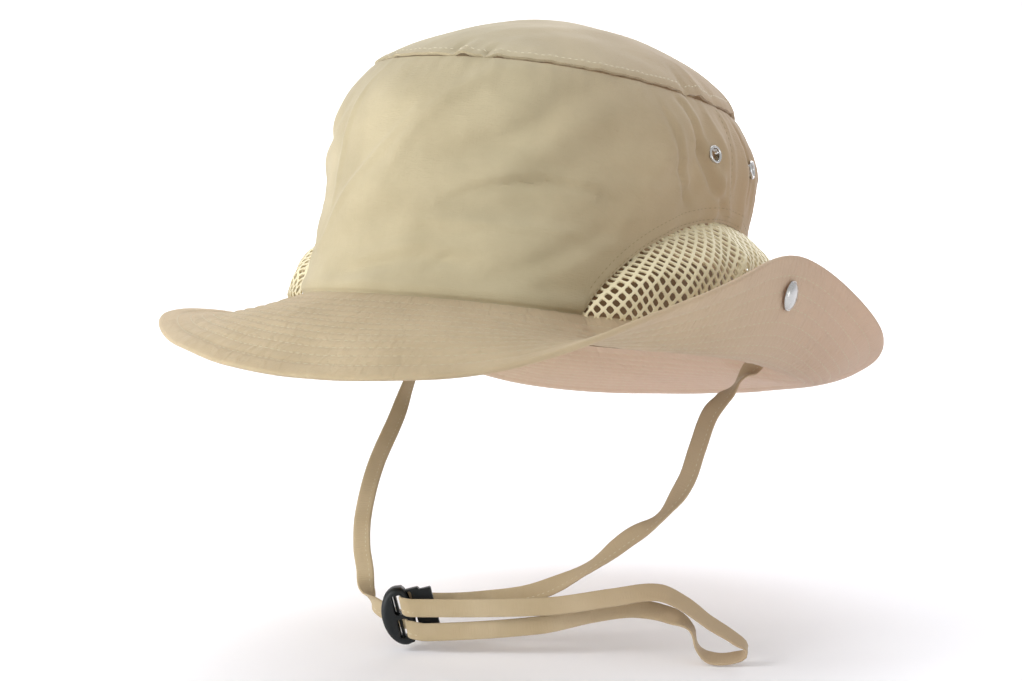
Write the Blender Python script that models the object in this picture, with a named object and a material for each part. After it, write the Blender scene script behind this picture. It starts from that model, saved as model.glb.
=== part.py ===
"""Soft sun hat with net side vents, a stitched brim and a chin strap with a cord lock.

The hat's front faces -Y and its wearer's left is +X. The origin is the middle of the head opening, where the
crown is sewn to the brim, and the hat is pitched back about it as it sits on a head. The brim is turned up on
the wearer's left.
"""

import math

import bmesh
import bpy
from mathutils import Matrix, Vector

# Driving sizes, in metres, and angles in degrees. Angle 0 is the front, 90 the wearer's left.
wearPitch = 11.5

openingHalfWidth = 0.085
openingHalfLength = 0.109
openingFullness = 0.035
clothWall = 0.0012
brimWall = 0.0018
bandWall = 0.0014
netWall = 0.0012
seamGap = 0.0003

crownHeight = 0.1002
topHalfWidth = 0.0695
topHalfLength = 0.0950
topShiftBack = 0.0075
domeRise = 0.031
domeShiftBack = 0.014
domeEaseFront = 1.03
domeEaseBack = 0.58
domeRipple = 0.035
domeRippleStart = 40.0
domeSpacing = 1.35
domeLean = 0.35
frontBulge = 0.0072
backBulge = 0.0088
bulgeRaise = 2.6
sideSeamAngle = 101.0
foldDepth = 0.0030

ventHalfAngle = 48.0
ventHeight = 0.049
ventFlare = 0.0195
seamFlare = 0.0175
flareSpread = 4.5
flareRise = 1.2
flareEase = 0.55
archPower = 1.9
archRound = 0.58
netPitch = 0.0092
netSquash = 0.98
netStrand = 0.0023
netBorder = 0.0016

bandHeight = 0.030
bandBelowSeam = 0.002
bandGap = 0.0011

brimWidth = 0.065
brimHandle = 0.42

eyeletOuterRadius = 0.0040
eyeletHoleRadius = 0.0023
eyeletHeight = 0.0765
eyeletFromSeam = 0.0140
eyeletLift = 0.0014
eyeletLip = 0.0005
eyeletGap = 0.0006
eyeletRoom = 0.0009
eyeletCutDepth = 0.012

snapRadius = 0.0064
snapRise = 0.0026
snapAngle = 88.3
snapFromRim = 0.0120
snapGap = 0.0005

strapWidth = 0.0076
strapWall = 0.0013
strapSeatAngle = 116.25
strapSeatGap = 0.0010
strapSeatHeight = 0.0075

lockWidth = 0.0135
lockHeight = 0.0250
lockDepth = 0.0092
lockBack = 0.62
lockEdge = 0.0014
lockTravel = 0.0036
windowWidth = 0.0050
windowMargin = 0.0004
windowBridge = 0.0018
buttonThickness = 0.0040
buttonReach = 0.0095
buttonHeadHeight = 0.0180
buttonFrame = 0.0009
buttonSlack = 0.0015
buttonWeb = 0.0011
buttonStep = 0.0006
lockRunGap = 0.0004
lockPass = 0.0015
lockTilt = 14.0
lockCentre = (-0.0200, -0.0655, -0.1192)
lockFaces = 32.4

# The brim's section: its root leaves the seam this far below level, its rim lies out and up from the seam
# by these shares of the brim's width, and leaves at this pitch.
brimTable = (
    # angle, rootDrop, rimOut, rimRise, rimPitch
    (-180, 26, 0.935, -0.23, -8),
    (-150, 26, 0.920, -0.30, -12),
    (-120, 22, 0.945, -0.15, 0),
    (-90, 22, 0.945, -0.09, 6),
    (-60, 22, 0.915, -0.17, 0),
    (-30, 26, 0.820, -0.42, -34),
    (0, 28, 0.800, -0.56, -44),
    (30, 26, 0.880, -0.42, -32),
    (60, 42, 0.810, 0.13, 46),
    (90, 60, 0.650, 0.52, 90),
    (120, 56, 0.915, 0.20, 50),
    (150, 38, 0.965, -0.07, 6),
    (180, 26, 0.935, -0.23, -8),
)

# Soft folds and dents of the crown's side wall: where the middle lies, which way the fold runs from level,
# its half length and half width as shares of the crown's height, and its depth as a share of foldDepth.
foldTable = (
    # angle, height, turn, halfLength, halfWidth, depth
    (-14, 0.42, 24, 0.55, 0.10, 0.55),
    (22, 0.30, -14, 0.60, 0.09, 0.60),
    (48, 0.62, 38, 0.45, 0.09, -0.70),
    (70, 0.66, 62, 0.34, 0.07, 0.90),
    (84, 0.70, 76, 0.28, 0.05, -0.90),
    (93, 0.62, 84, 0.28, 0.04, 0.90),
    (108, 0.66, 96, 0.28, 0.05, 0.80),
    (-52, 0.60, 66, 0.40, 0.09, 0.70),
    (-84, 0.66, 100, 0.30, 0.06, -0.80),
    (-108, 0.60, 84, 0.30, 0.06, 0.80),
    (150, 0.55, 20, 0.50, 0.10, 0.60),
    (-155, 0.48, -22, 0.50, 0.10, -0.60),
)

# The chin strap's route through its middle, in metres, and the way its width points at each place. The side
# strands run between the sweatband and the cord lock, and the tail is doubled, from the lock and back to it.
strapRoute = {
    "leftSide": (
        # x, y, z, widthX, widthY, widthZ
        (0.0856, 0.0485, -0.0190, 0.80, 0.55, 0.10),
        (0.0835, 0.0390, -0.0250, 0.62, -0.33, 0.40),
        (0.0823, 0.0292, -0.0300, 0.75, 0.10, -0.05),
        (0.0808, 0.0190, -0.0367, 0.82, 0.37, -0.43),
        (0.0810, 0.0080, -0.0496, 0.86, 0.30, -0.41),
        (0.0800, 0.0000, -0.0625, 0.86, 0.20, -0.45),
        (0.0750, -0.0120, -0.0760, 0.74, -0.60, -0.1),
        (0.0640, -0.0200, -0.0850, 0.64, -0.10, -0.76),
        (0.0490, -0.0280, -0.0980, 0.55, -0.70, -0.36),
        (0.0270, -0.0350, -0.1095, 0.30, -0.10, -0.94),
        (0.0050, -0.0430, -0.1140, 0.16, -0.03, -0.99),
        (-0.0120, -0.0500, -0.1155, 0.10, -0.03, -0.99),
    ),
    "tail": (
        (-0.0120, -0.0700, -0.1145, 0.10, -0.07, -0.99),
        (0.0400, -0.0460, -0.1120, 0.12, -0.06, -0.99),
        (0.0650, -0.0340, -0.1075, 0.20, -0.15, -0.95),
        (0.0810, -0.0260, -0.1050, 0.18, -0.50, -0.85),
        (0.0910, -0.0220, -0.1090, 0.05, -0.80, -0.60),
        (0.1010, -0.0170, -0.1170, 0.25, -0.80, -0.55),
        (0.1110, -0.0130, -0.1235, 0.35, -0.80, -0.45),
        (0.1155, -0.0120, -0.1280, 0.45, -0.85, -0.25),
        (0.1110, -0.0140, -0.1310, 0.45, -0.80, -0.40),
        (0.1025, -0.0180, -0.1315, 0.40, -0.80, -0.45),
        (0.0965, -0.0190, -0.1275, 0.50, -0.85, -0.20),
        (0.0925, -0.0180, -0.1200, 0.45, -0.85, -0.25),
        (0.0820, -0.0190, -0.1155, 0.10, -0.60, -0.80),
        (0.0690, -0.0250, -0.1135, 0.10, -0.16, -0.98),
        (0.0540, -0.0330, -0.1160, 0.16, -0.03, -0.98),
        (0.0350, -0.0440, -0.1210, 0.16, -0.03, -0.99),
        (-0.0070, -0.0660, -0.1250, 0.12, -0.03, -0.99),
    ),
    "rightSide": (
        (-0.0370, -0.0600, -0.1185, 0.20, 0.10, -0.97),
        (-0.0445, -0.0570, -0.1120, 0.70, 0.45, -0.55),
        (-0.0475, -0.0540, -0.1050, 0.85, 0.50, 0.10),
        (-0.0535, -0.0480, -0.0965, 0.75, 0.60, 0.25),
        (-0.0620, -0.0350, -0.0850, 0.60, 0.75, 0.25),
        (-0.0720, -0.0120, -0.0680, 0.30, 0.90, 0.30),
        (-0.0790, 0.0150, -0.0490, 0.10, 0.95, 0.30),
        (-0.0835, 0.0330, -0.0330, -0.10, 0.98, 0.20),
        (-0.0855, 0.0465, -0.0210, -0.25, 0.95, 0.10),
    ),
}

crownRows = 8
domeColumns = 30
domeRows = 6
frontStations = 10
backStations = 6
brimColumns = 60
brimRows = 8
bandColumns = 48
archStations = 16
ringSides = 12
capSides = 14
strapSpacing = 0.0098

# Small steps over which a surface's slope is taken
slopeAngle = 0.5
slopeShare = 0.01
slopeRise = 0.0005


def clearScene():
    for obj in list(bpy.data.objects):
        bpy.data.objects.remove(obj)


def makeMaterial(name, colour, roughness, metallic=0.0):
    material = bpy.data.materials.new(name)
    material.use_nodes = True
    shader = material.node_tree.nodes["Principled BSDF"]
    shader.inputs["Base Color"].default_value = (*colour, 1.0)
    shader.inputs["Roughness"].default_value = roughness
    shader.inputs["Metallic"].default_value = metallic
    return material


def faceOut(bm):
    bmesh.ops.recalc_face_normals(bm, faces=bm.faces)
    if bm.calc_volume(signed=True) < 0.0:
        bmesh.ops.reverse_faces(bm, faces=bm.faces)


def addObject(name, bm, material, parent=None):
    faceOut(bm)
    mesh = bpy.data.meshes.new(name)
    bm.to_mesh(mesh)
    bm.free()
    mesh.materials.append(material)
    mesh.shade_smooth()
    mesh.set_sharp_from_angle(angle=math.radians(40))
    obj = bpy.data.objects.new(name, mesh)
    bpy.context.scene.collection.objects.link(obj)
    obj.parent = parent
    return obj


def addPivot(name, matrix):
    pivot = bpy.data.objects.new(name, None)
    pivot.matrix_world = matrix
    bpy.context.scene.collection.objects.link(pivot)
    return pivot


def oval(angle, halfWidth, halfLength, shift=0.0):
    turn = math.radians(angle)
    full = 1.0 + openingFullness * math.sin(2.0 * turn) ** 2
    return Vector((full * halfWidth * math.sin(turn), shift - full * halfLength * math.cos(turn), 0.0))


def outward(angle):
    """Level direction straight out of the head opening's oval."""
    turn = math.radians(angle)
    return Vector((math.sin(turn) / openingHalfWidth, -math.cos(turn) / openingHalfLength, 0.0)).normalized()


def foldOffset(angle, height):
    """How far the soft folds push the wall out, at a height given as a share of the crown's."""
    total = 0.0
    girth = math.radians(1.0) * 0.5 * (openingHalfWidth + openingHalfLength) / crownHeight
    for middle, level, turn, halfLength, halfWidth, depth in foldTable:
        across = ((angle - middle + 180.0) % 360.0 - 180.0) * girth
        up = height - level
        bend = math.radians(turn)
        along = across * math.cos(bend) + up * math.sin(bend)
        aside = up * math.cos(bend) - across * math.sin(bend)
        total += depth * math.exp(-((along / halfLength) ** 2) - (aside / halfWidth) ** 2)
    return foldDepth * total * math.sin(math.pi * min(max(height, 0.0), 1.0)) ** 0.5


def ventShare(angle, grow=0.0):
    """How far an angle lies from the middle of the nearer vent, which ends at 1."""
    turn = abs((angle + 180.0) % 360.0 - 180.0)
    return abs(turn - sideSeamAngle) / (ventHalfAngle + math.degrees(grow / openingHalfWidth))


def archHeight(angle, grow=0.0):
    """Height of the vent's arch at this angle, or nothing outside it."""
    share = ventShare(angle, grow)
    if share >= 1.0:
        return 0.0
    return (ventHeight + grow) * (1.0 - share**archPower) ** archRound


def seamDrawn(angle):
    """How far the nets sewn into the seam draw it out from the opening's oval."""
    return seamFlare * max(0.0, 1.0 - ventShare(angle) ** flareSpread)


def netFlare(angle, height):
    """How far a net stands out beyond the cloth's line, from its arch down to the seam."""
    arch = archHeight(angle)
    if arch <= 0.0 or height >= arch:
        return 0.0
    down = min(1.0 - height / arch, 1.0)
    eased = max(0.0, down - flareEase) / (1.0 - flareEase)
    out = ventFlare * math.sin(math.pi * min(flareRise * down, 0.5)) - (ventFlare - seamFlare) * eased
    return out * (1.0 - ventShare(angle) ** flareSpread)


def backShare(angle):
    """How far round an angle lies, from 0 at the front to 1 at the back."""
    return 0.5 * (1.0 - math.cos(math.radians(angle)))


def wallPoint(angle, height):
    """Outer face of the crown's side wall, in the hat's own frame, at a height above the seam."""
    share = height / crownHeight
    low = oval(angle, openingHalfWidth, openingHalfLength)
    high = oval(angle, topHalfWidth, topHalfLength, topShiftBack)
    bulge = frontBulge + (backBulge - frontBulge) * backShare(angle)
    out = bulge * math.sin(math.pi * min(max(share, 0.0), 1.0) ** bulgeRaise) + foldOffset(angle, share)
    point = low.lerp(high, share) + outward(angle) * (out + netFlare(angle, height))
    point.z = height
    return point


def wallNormal(angle, height):
    across = wallPoint(angle + slopeAngle, height) - wallPoint(angle - slopeAngle, height)
    up = wallPoint(angle, height + slopeRise) - wallPoint(angle, height - slopeRise)
    return across.cross(up).normalized()


def hermite(t, start, end, startSlope, endSlope):
    square = t * t
    cube = square * t
    return (
        (2.0 * cube - 3.0 * square + 1.0) * start
        + (cube - 2.0 * square + t) * startSlope
        + (3.0 * square - 2.0 * cube) * end
        + (cube - square) * endSlope
    )


def brimShape(angle):
    """The brim table's values at this angle, eased between its rows."""
    turn = (angle + 180.0) % 360.0 - 180.0
    rows = len(brimTable) - 1
    place = next(k for k in range(rows) if turn <= brimTable[k + 1][0])
    near = brimTable[place]
    far = brimTable[place + 1]
    share = (turn - near[0]) / (far[0] - near[0])
    before = brimTable[place - 1 if place > 0 else rows - 1]
    beyond = brimTable[place + 2 if place + 2 <= rows else 1]
    values = zip(before[1:], near[1:], far[1:], beyond[1:])
    return [hermite(share, a, b, 0.5 * (b - p), 0.5 * (q - a)) for p, a, b, q in values]


def brimPoint(angle, share):
    """Upper face of the brim, from the seam at share 0 to the rim at 1."""
    rootDrop, rimOut, rimRise, rimPitch = brimShape(angle)
    drop = math.radians(rootDrop)
    pitch = math.radians(rimPitch)
    handle = brimHandle * brimWidth
    start = seamDrawn(angle)
    root = Vector((start + handle * math.cos(drop), -handle * math.sin(drop)))
    rim = Vector((rimOut * brimWidth, rimRise * brimWidth))
    near = rim - Vector((handle * math.cos(pitch), handle * math.sin(pitch)))
    rest = 1.0 - share
    place = rest**3 * Vector((start, 0.0)) + 3.0 * rest * rest * share * root
    place += 3.0 * rest * share * share * near + share**3 * rim
    inner = oval(angle, openingHalfWidth, openingHalfLength) - outward(angle) * clothWall
    point = inner + outward(angle) * (place.x + clothWall * share)
    point.z = place.y
    return point


def brimNormal(angle, share):
    low = max(share - slopeShare, 0.0)
    high = min(share + slopeShare, 1.0)
    across = brimPoint(angle + slopeAngle, share) - brimPoint(angle - slopeAngle, share)
    out = brimPoint(angle, high) - brimPoint(angle, low)
    return out.cross(across).normalized()


def raiseFace(bm, face, step):
    raised = bmesh.ops.extrude_face_region(bm, geom=[face])
    verts = [g for g in raised["geom"] if isinstance(g, bmesh.types.BMVert)]
    bmesh.ops.translate(bm, vec=step, verts=verts)


def clothSheet(points, under, closed):
    """A wall between two equal grids of points, closed along its edges."""
    bm = bmesh.new()
    grids = [[[bm.verts.new(p) for p in row] for row in grid] for grid in (points, under)]
    top, low = grids
    rows = len(top)
    columns = len(top[0])
    last = columns if closed else columns - 1
    for r in range(rows - 1):
        for c in range(last):
            d = (c + 1) % columns
            bm.faces.new((top[r][c], top[r][d], top[r + 1][d], top[r + 1][c]))
            bm.faces.new((low[r][c], low[r + 1][c], low[r + 1][d], low[r][d]))
    for r in (0, rows - 1):
        for c in range(last):
            d = (c + 1) % columns
            bm.faces.new((top[r][c], top[r][d], low[r][d], low[r][c]))
    if not closed:
        for r in range(rows - 1):
            for c in (0, columns - 1):
                bm.faces.new((top[r][c], top[r + 1][c], low[r + 1][c], low[r][c]))
    return bm


def crownPanel(name, angles, material, parent):
    """One side panel of the crown, from the seam or the vent's arch up to the top edge."""
    points = []
    under = []
    high = crownHeight
    for row in range(crownRows + 1):
        share = row / crownRows
        outer = []
        inner = []
        for angle in angles:
            low = seamGap + archHeight(angle, seamGap)
            height = low + (high - low) * share
            outer.append(wallPoint(angle, height))
            inner.append(wallPoint(angle, height) - wallNormal(angle, height) * clothWall)
        points.append(outer)
        under.append(inner)
    return addObject(name, clothSheet(points, under, False), material, parent)


def archAngles(side):
    """Angles across one vent, closer together near its two tips."""
    half = ventHalfAngle + math.degrees(seamGap / openingHalfWidth)
    stations = range(archStations + 1)
    return [side * sideSeamAngle - half * math.cos(math.pi * k / archStations) for k in stations]


def frontAngles():
    left = [a for a in archAngles(1) if a < sideSeamAngle - 1.0]
    edge = [sideSeamAngle - math.degrees(0.5 * seamGap / openingHalfWidth)]
    middle = [left[0] * (2.0 * k / frontStations - 1.0) for k in range(1, frontStations)]
    return [-a for a in edge] + [-a for a in reversed(left)] + middle + left + edge


def backAngles():
    left = [a for a in archAngles(1) if a > sideSeamAngle + 1.0]
    edge = [sideSeamAngle + math.degrees(0.5 * seamGap / openingHalfWidth)]
    gap = 360.0 - 2.0 * left[-1]
    middle = [left[-1] + gap * k / backStations for k in range(1, backStations)]
    return edge + left + middle + [360.0 - a for a in reversed(left)] + [360.0 - a for a in edge]


def domePoint(angle, share):
    """Outer face of the top panel, from its edge at share 0 to the middle at 1."""
    edge = wallPoint(angle, crownHeight)
    middle = Vector((0.0, domeShiftBack, crownHeight + seamGap))
    point = edge.lerp(middle, share)
    ease = domeEaseFront + (domeEaseBack - domeEaseFront) * backShare(angle)
    ripple = domeRipple * math.sin(math.radians(3.0 * angle + domeRippleStart)) * share * (1.0 - share)
    point.z = crownHeight + seamGap + clothWall + domeRise * ((1.0 - (1.0 - share) ** 2) ** ease + ripple)
    return point


def makeCrownTop(material, parent):
    angles = [360.0 * k / domeColumns for k in range(domeColumns)]
    shares = [(k / domeRows) ** domeSpacing for k in range(domeRows)]
    points = [[domePoint(a, s) for a in angles] for s in shares]
    under = []
    for share in shares:
        lean = 0.0 if share == 0.0 else domeLean * (1.0 - share)
        inner = [domePoint(a, share) - outward(a) * clothWall * lean for a in angles]
        under.append([p - Vector((0.0, 0.0, clothWall)) for p in inner])
    bm = clothSheet(points, under, True)
    bm.verts.ensure_lookup_table()
    count = domeColumns * domeRows
    topRing = bm.verts[count - domeColumns : count]
    lowRing = bm.verts[2 * count - domeColumns : 2 * count]
    both = set(topRing) | set(lowRing)
    closing = [f for f in bm.faces if both.issuperset(f.verts)]
    bmesh.ops.delete(bm, geom=closing, context="FACES_ONLY")
    for ringVerts, drop in ((topRing, 0.0), (lowRing, clothWall)):
        tip = domePoint(0.0, 1.0)
        tip.z -= drop
        pole = bm.verts.new(tip)
        for k in range(domeColumns):
            bm.faces.new((ringVerts[k], ringVerts[(k + 1) % domeColumns], pole))
    return addObject("crown_top", bm, material, parent)


def makeBrim(material, parent):
    angles = [360.0 * k / brimColumns for k in range(brimColumns)]
    points = []
    under = []
    for row in range(brimRows + 1):
        share = row / brimRows
        outer = [brimPoint(a, share) for a in angles]
        points.append(outer)
        if row == 0:
            under.append([p - Vector((0.0, 0.0, brimWall)) for p in outer])
        else:
            under.append([p - brimNormal(a, share) * brimWall for a, p in zip(angles, outer)])
    bm = clothSheet(points, under, True)
    return addObject("brim", bm, material, parent)


def bandPoint(angle, height, depth):
    """The sweatband, inside the crown's wall, at a depth from its outer face."""
    low = oval(angle, openingHalfWidth, openingHalfLength)
    high = oval(angle, topHalfWidth, topHalfLength, topShiftBack)
    point = low.lerp(high, max(height, 0.0) / crownHeight) - outward(angle) * (clothWall + bandGap + depth)
    point.z = height
    return point


def makeSweatband(material, parent):
    angles = [360.0 * k / bandColumns for k in range(bandColumns)]
    points = []
    under = []
    for height in (-bandBelowSeam, 0.5 * bandHeight, bandHeight):
        points.append([bandPoint(angle, height, 0.0) for angle in angles])
        under.append([bandPoint(angle, height, bandWall) for angle in angles])
    return addObject("sweatband", clothSheet(points, under, True), material, parent)


def flatArch(side):
    """The vent's outline laid flat: distance along the seam, and height."""
    reach = math.radians(1.0) * 0.5 * (openingHalfWidth + openingHalfLength)
    top = []
    for k in range(archStations + 1):
        off = -ventHalfAngle * math.cos(math.pi * k / archStations)
        top.append((off * reach, archHeight(side * sideSeamAngle + off) + seamGap))
    return reach, top


def netHoles(top):
    """Middles of the diamond gaps that fit between the vent's outline and its border."""
    half = top[-1][0]
    rise = netPitch * netSquash
    holes = []
    rows = int(2.0 * ventHeight / rise) + 1
    for row in range(rows):
        y = netBorder + seamGap + rise * (0.5 + 0.5 * row)
        start = 0.0 if row % 2 == 0 else 0.5 * netPitch
        count = int(half / netPitch) + 1
        for k in range(-count, count + 1):
            x = start + k * netPitch
            reach = 0.5 * netPitch
            corners = [(x - reach, y), (x + reach, y), (x, y + 0.5 * rise)]
            if all(insideArch(cx, cy + netBorder, half) for cx, cy in corners):
                holes.append((x, y, 0.5 * netPitch - 0.5 * netStrand, 0.5 * rise - 0.5 * netStrand))
    return holes


def insideArch(x, y, half):
    share = abs(x) / (half - netBorder)
    return share < 1.0 and y < ventHeight * (1.0 - share**archPower) ** archRound


def makeNet(name, side, material, parent):
    """An arched panel of coarse net: cut through while flat, then bent to the crown's wall."""
    reach, top = flatArch(side)
    plate = bmesh.new()
    base = [(x, seamGap) for x, y in reversed(top[1:-1])]
    outline = [plate.verts.new((x, y, 0.0)) for x, y in top + base]
    face = plate.faces.new(outline)
    raiseFace(plate, face, (0.0, 0.0, netWall))
    net = addObject(name, plate, material)

    cutter = bmesh.new()
    for x, y, halfX, halfY in netHoles(top):
        rim = [(x - halfX, y), (x, y - halfY), (x + halfX, y), (x, y + halfY)]
        diamond = cutter.faces.new([cutter.verts.new((cx, cy, -netWall)) for cx, cy in rim])
        raiseFace(cutter, diamond, (0.0, 0.0, 3.0 * netWall))
    cutAway(net, cutter, name + "_cutter")

    bm = bmesh.new()
    bm.from_mesh(net.data)
    bmesh.ops.triangulate(bm, faces=bm.faces)
    for vert in bm.verts:
        angle = side * sideSeamAngle + vert.co.x / reach
        height = vert.co.y
        vert.co = wallPoint(angle, height) - wallNormal(angle, height) * (netWall - vert.co.z)
    faceOut(bm)
    bm.to_mesh(net.data)
    bm.free()
    net.parent = parent
    return net


def cutAway(obj, cutterMesh, name):
    """Cuts a mesh out of an object, and leaves the result as the object's own mesh."""
    faceOut(cutterMesh)
    data = bpy.data.meshes.new(name)
    cutterMesh.to_mesh(data)
    cutterMesh.free()
    cutter = bpy.data.objects.new(name, data)
    bpy.context.scene.collection.objects.link(cutter)
    modifier = obj.modifiers.new("cut", "BOOLEAN")
    modifier.operation = "DIFFERENCE"
    modifier.solver = "EXACT"
    modifier.object = cutter
    bpy.context.view_layer.update()
    graph = bpy.context.evaluated_depsgraph_get()
    result = bpy.data.meshes.new_from_object(obj.evaluated_get(graph))
    obj.modifiers.remove(modifier)
    obj.data = result
    bpy.data.objects.remove(cutter)


def seated(point, normal, upHint=Vector((0.0, 0.0, 1.0))):
    """A placement whose Z is the surface's normal, at a point of it."""
    z = normal.normalized()
    x = upHint.cross(z).normalized()
    y = z.cross(x)
    matrix = Matrix((x, y, z)).transposed().to_4x4()
    matrix.translation = point
    return matrix


def turnedRing(section, sides, closed):
    """A section of radius and height pairs turned about Z, closed on itself or on the axis."""
    bm = bmesh.new()
    rings = []
    for k in range(sides):
        turn = 2.0 * math.pi * k / sides
        rings.append([bm.verts.new((r * math.cos(turn), r * math.sin(turn), h)) for r, h in section])
    last = len(section) if closed else len(section) - 1
    for k in range(sides):
        here = rings[k]
        there = rings[(k + 1) % sides]
        for j in range(last):
            n = (j + 1) % len(section)
            bm.faces.new((here[j], there[j], there[n], here[n]))
    if not closed:
        bm.faces.new([ring[0] for ring in reversed(rings)])
        bm.faces.new([ring[-1] for ring in rings])
    return bm


def eyeletPlaces():
    step = math.degrees(eyeletFromSeam / topHalfWidth)
    for side, word in ((1, "left"), (-1, "right")):
        for way, place in ((-1, "front"), (1, "back")):
            yield f"eyelet_{word}_{place}", side * (sideSeamAngle + way * step)


def makeEyelet(name, angle, material, parent):
    """A metal ring set through the crown's wall."""
    barrel = eyeletHoleRadius + eyeletLip
    behind = -clothWall - eyeletGap
    section = [
        (eyeletHoleRadius, eyeletLift * 0.7),
        (eyeletHoleRadius + eyeletLip, eyeletLift),
        (eyeletOuterRadius - eyeletLip, eyeletLift * 0.85),
        (eyeletOuterRadius, eyeletGap),
        (barrel, eyeletGap),
        (barrel, behind),
        (barrel + 2.0 * eyeletLip, behind),
        (eyeletHoleRadius, behind - eyeletLip),
    ]
    ring = turnedRing(section, ringSides, True)
    place = seated(wallPoint(angle, eyeletHeight), wallNormal(angle, eyeletHeight))
    bmesh.ops.transform(ring, matrix=place, verts=ring.verts)
    addObject(name, ring, material, parent)


def eyeletCutter(angle):
    cutter = bmesh.new()
    bmesh.ops.create_cone(
        cutter,
        cap_ends=True,
        segments=ringSides,
        radius1=eyeletHoleRadius + eyeletRoom,
        radius2=eyeletHoleRadius + eyeletRoom,
        depth=eyeletCutDepth,
        matrix=seated(wallPoint(angle, eyeletHeight), wallNormal(angle, eyeletHeight)),
    )
    return cutter


def makeSnap(name, side, material, parent):
    """A domed metal cap on the brim's under face, just below the raised rim."""
    angle = side * snapAngle
    share = 1.0 - snapFromRim / brimWidth
    under = -brimNormal(angle, share)
    seat = brimPoint(angle, share) + under * (brimWall + snapGap)
    section = [
        (snapRadius * 0.93, 0.0),
        (snapRadius, snapRise * 0.22),
        (snapRadius * 0.90, snapRise * 0.55),
        (snapRadius * 0.62, snapRise * 0.86),
        (snapRadius * 0.28, snapRise),
    ]
    cap = turnedRing(section, capSides, False)
    bmesh.ops.transform(cap, matrix=seated(seat, under), verts=cap.verts)
    addObject(name, cap, material, parent)


def lockMatrix():
    """The cord lock's place: X along the button's slide, Y away along the windows, Z up its height."""
    turn = Matrix.Rotation(math.radians(lockFaces), 4, "Z")
    tilt = Matrix.Rotation(math.radians(-lockTilt), 4, "Y")
    return Matrix.Translation(lockCentre) @ turn @ tilt


def windowCentres():
    rise = 0.5 * windowBridge + windowMargin + 0.5 * strapWidth
    return (rise, -rise)


def tapeAcross():
    """Where the tape lies across a window, against the side that the button pinches it to."""
    return 0.5 * windowWidth - seamGap - 0.5 * strapWall


def boxMesh(low, high):
    bm = bmesh.new()
    size = Vector(high) - Vector(low)
    middle = (Vector(high) + Vector(low)) * 0.5
    matrix = Matrix.Translation(middle) @ Matrix.Diagonal((*size, 1.0))
    bmesh.ops.create_cube(bm, size=1.0, matrix=matrix)
    return bm


def makeLockBody(material):
    """Oval body with two windows for the tape and a slot, open to one side, for the button."""
    left = lockBack * lockWidth
    right = lockWidth - left
    half = 0.5 * lockHeight
    outline = []
    steps = 9
    for k in range(steps + 1):
        turn = math.radians(90.0 + 180.0 * k / steps)
        outline.append((left * math.cos(turn), half * math.sin(turn)))
    outline += [(right * 0.75, -half * 0.95), (right, -half * 0.84)]
    outline += [(right, half * 0.84), (right * 0.75, half * 0.95)]
    bm = bmesh.new()
    face = bm.faces.new([bm.verts.new((x, -0.5 * lockDepth, z)) for x, z in outline])
    raiseFace(bm, face, (0.0, lockDepth, 0.0))
    flats = [f for f in bm.faces if abs(f.normal.y) > 0.9 or len(f.verts) > 6]
    edges = {e for f in flats for e in f.edges}
    bmesh.ops.bevel(
        bm, geom=list(edges), offset=lockEdge, segments=2, affect="EDGES", profile=0.5, material=-1
    )
    body = addObject("lock_body", bm, material)

    inner = buttonInnerEnd() - lockTravel - lockRunGap
    slotHalf = buttonHalfHeight() + lockRunGap
    slotDeep = 0.5 * buttonThickness + lockRunGap
    slot = boxMesh((inner, -slotDeep, -slotHalf), (2.0 * right, slotDeep, slotHalf))
    cutAway(body, slot, "slot_cutter")
    for centre in windowCentres():
        half = 0.5 * strapWidth + windowMargin
        low = (-0.5 * windowWidth, -lockDepth, centre - half)
        high = (0.5 * windowWidth, lockDepth, centre + half)
        cutAway(body, boxMesh(low, high), "window_cutter")
    body.matrix_world = lockMatrix()
    return body


def buttonHalfHeight():
    return windowCentres()[0] + 0.5 * strapWidth + windowMargin + buttonFrame


def buttonInnerEnd():
    """Where the button's inner end lies at rest, a thin web before its windows."""
    return tapeAcross() - 0.5 * strapWall - buttonSlack - buttonWeb


def makeLockButton(material):
    """Spring button: a slotted plate in the body with a thumb block outside it."""
    inner = buttonInnerEnd()
    right = (1.0 - lockBack) * lockWidth
    outer = right + buttonReach
    deep = 0.5 * buttonThickness
    half = buttonHalfHeight()
    head = 0.5 * buttonHeadHeight
    shoulder = right + lockTravel + buttonStep
    bm = bmesh.new()
    outline = [(inner, -half), (shoulder, -half), (shoulder + buttonStep, -head), (outer, -head)]
    outline += [(x, -z) for x, z in reversed(outline)]
    face = bm.faces.new([bm.verts.new((x, -deep, z)) for x, z in outline])
    raiseFace(bm, face, (0.0, 2.0 * deep, 0.0))
    button = addObject("lock_button", bm, material)
    near = tapeAcross() - 0.5 * strapWall - buttonSlack
    far = tapeAcross() + 0.5 * strapWall + lockTravel + seamGap
    for centre in windowCentres():
        tall = 0.5 * strapWidth + windowMargin
        window = boxMesh((near, -2.0 * deep, centre - tall), (far, 2.0 * deep, centre + tall))
        cutAway(button, window, "window_cutter")
    button.matrix_world = lockMatrix()
    return button


def lockPassage(window, order):
    """The tape's straight way through one window of the lock, from behind it to the front or back again."""
    place = lockMatrix()
    axis = (place.to_3x3() @ Vector((0.0, 0.0, -1.0))).normalized()
    rows = []
    for back in order:
        point = place @ Vector((tapeAcross(), back, windowCentres()[window]))
        rows.append((*point, *axis))
    return rows


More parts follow.
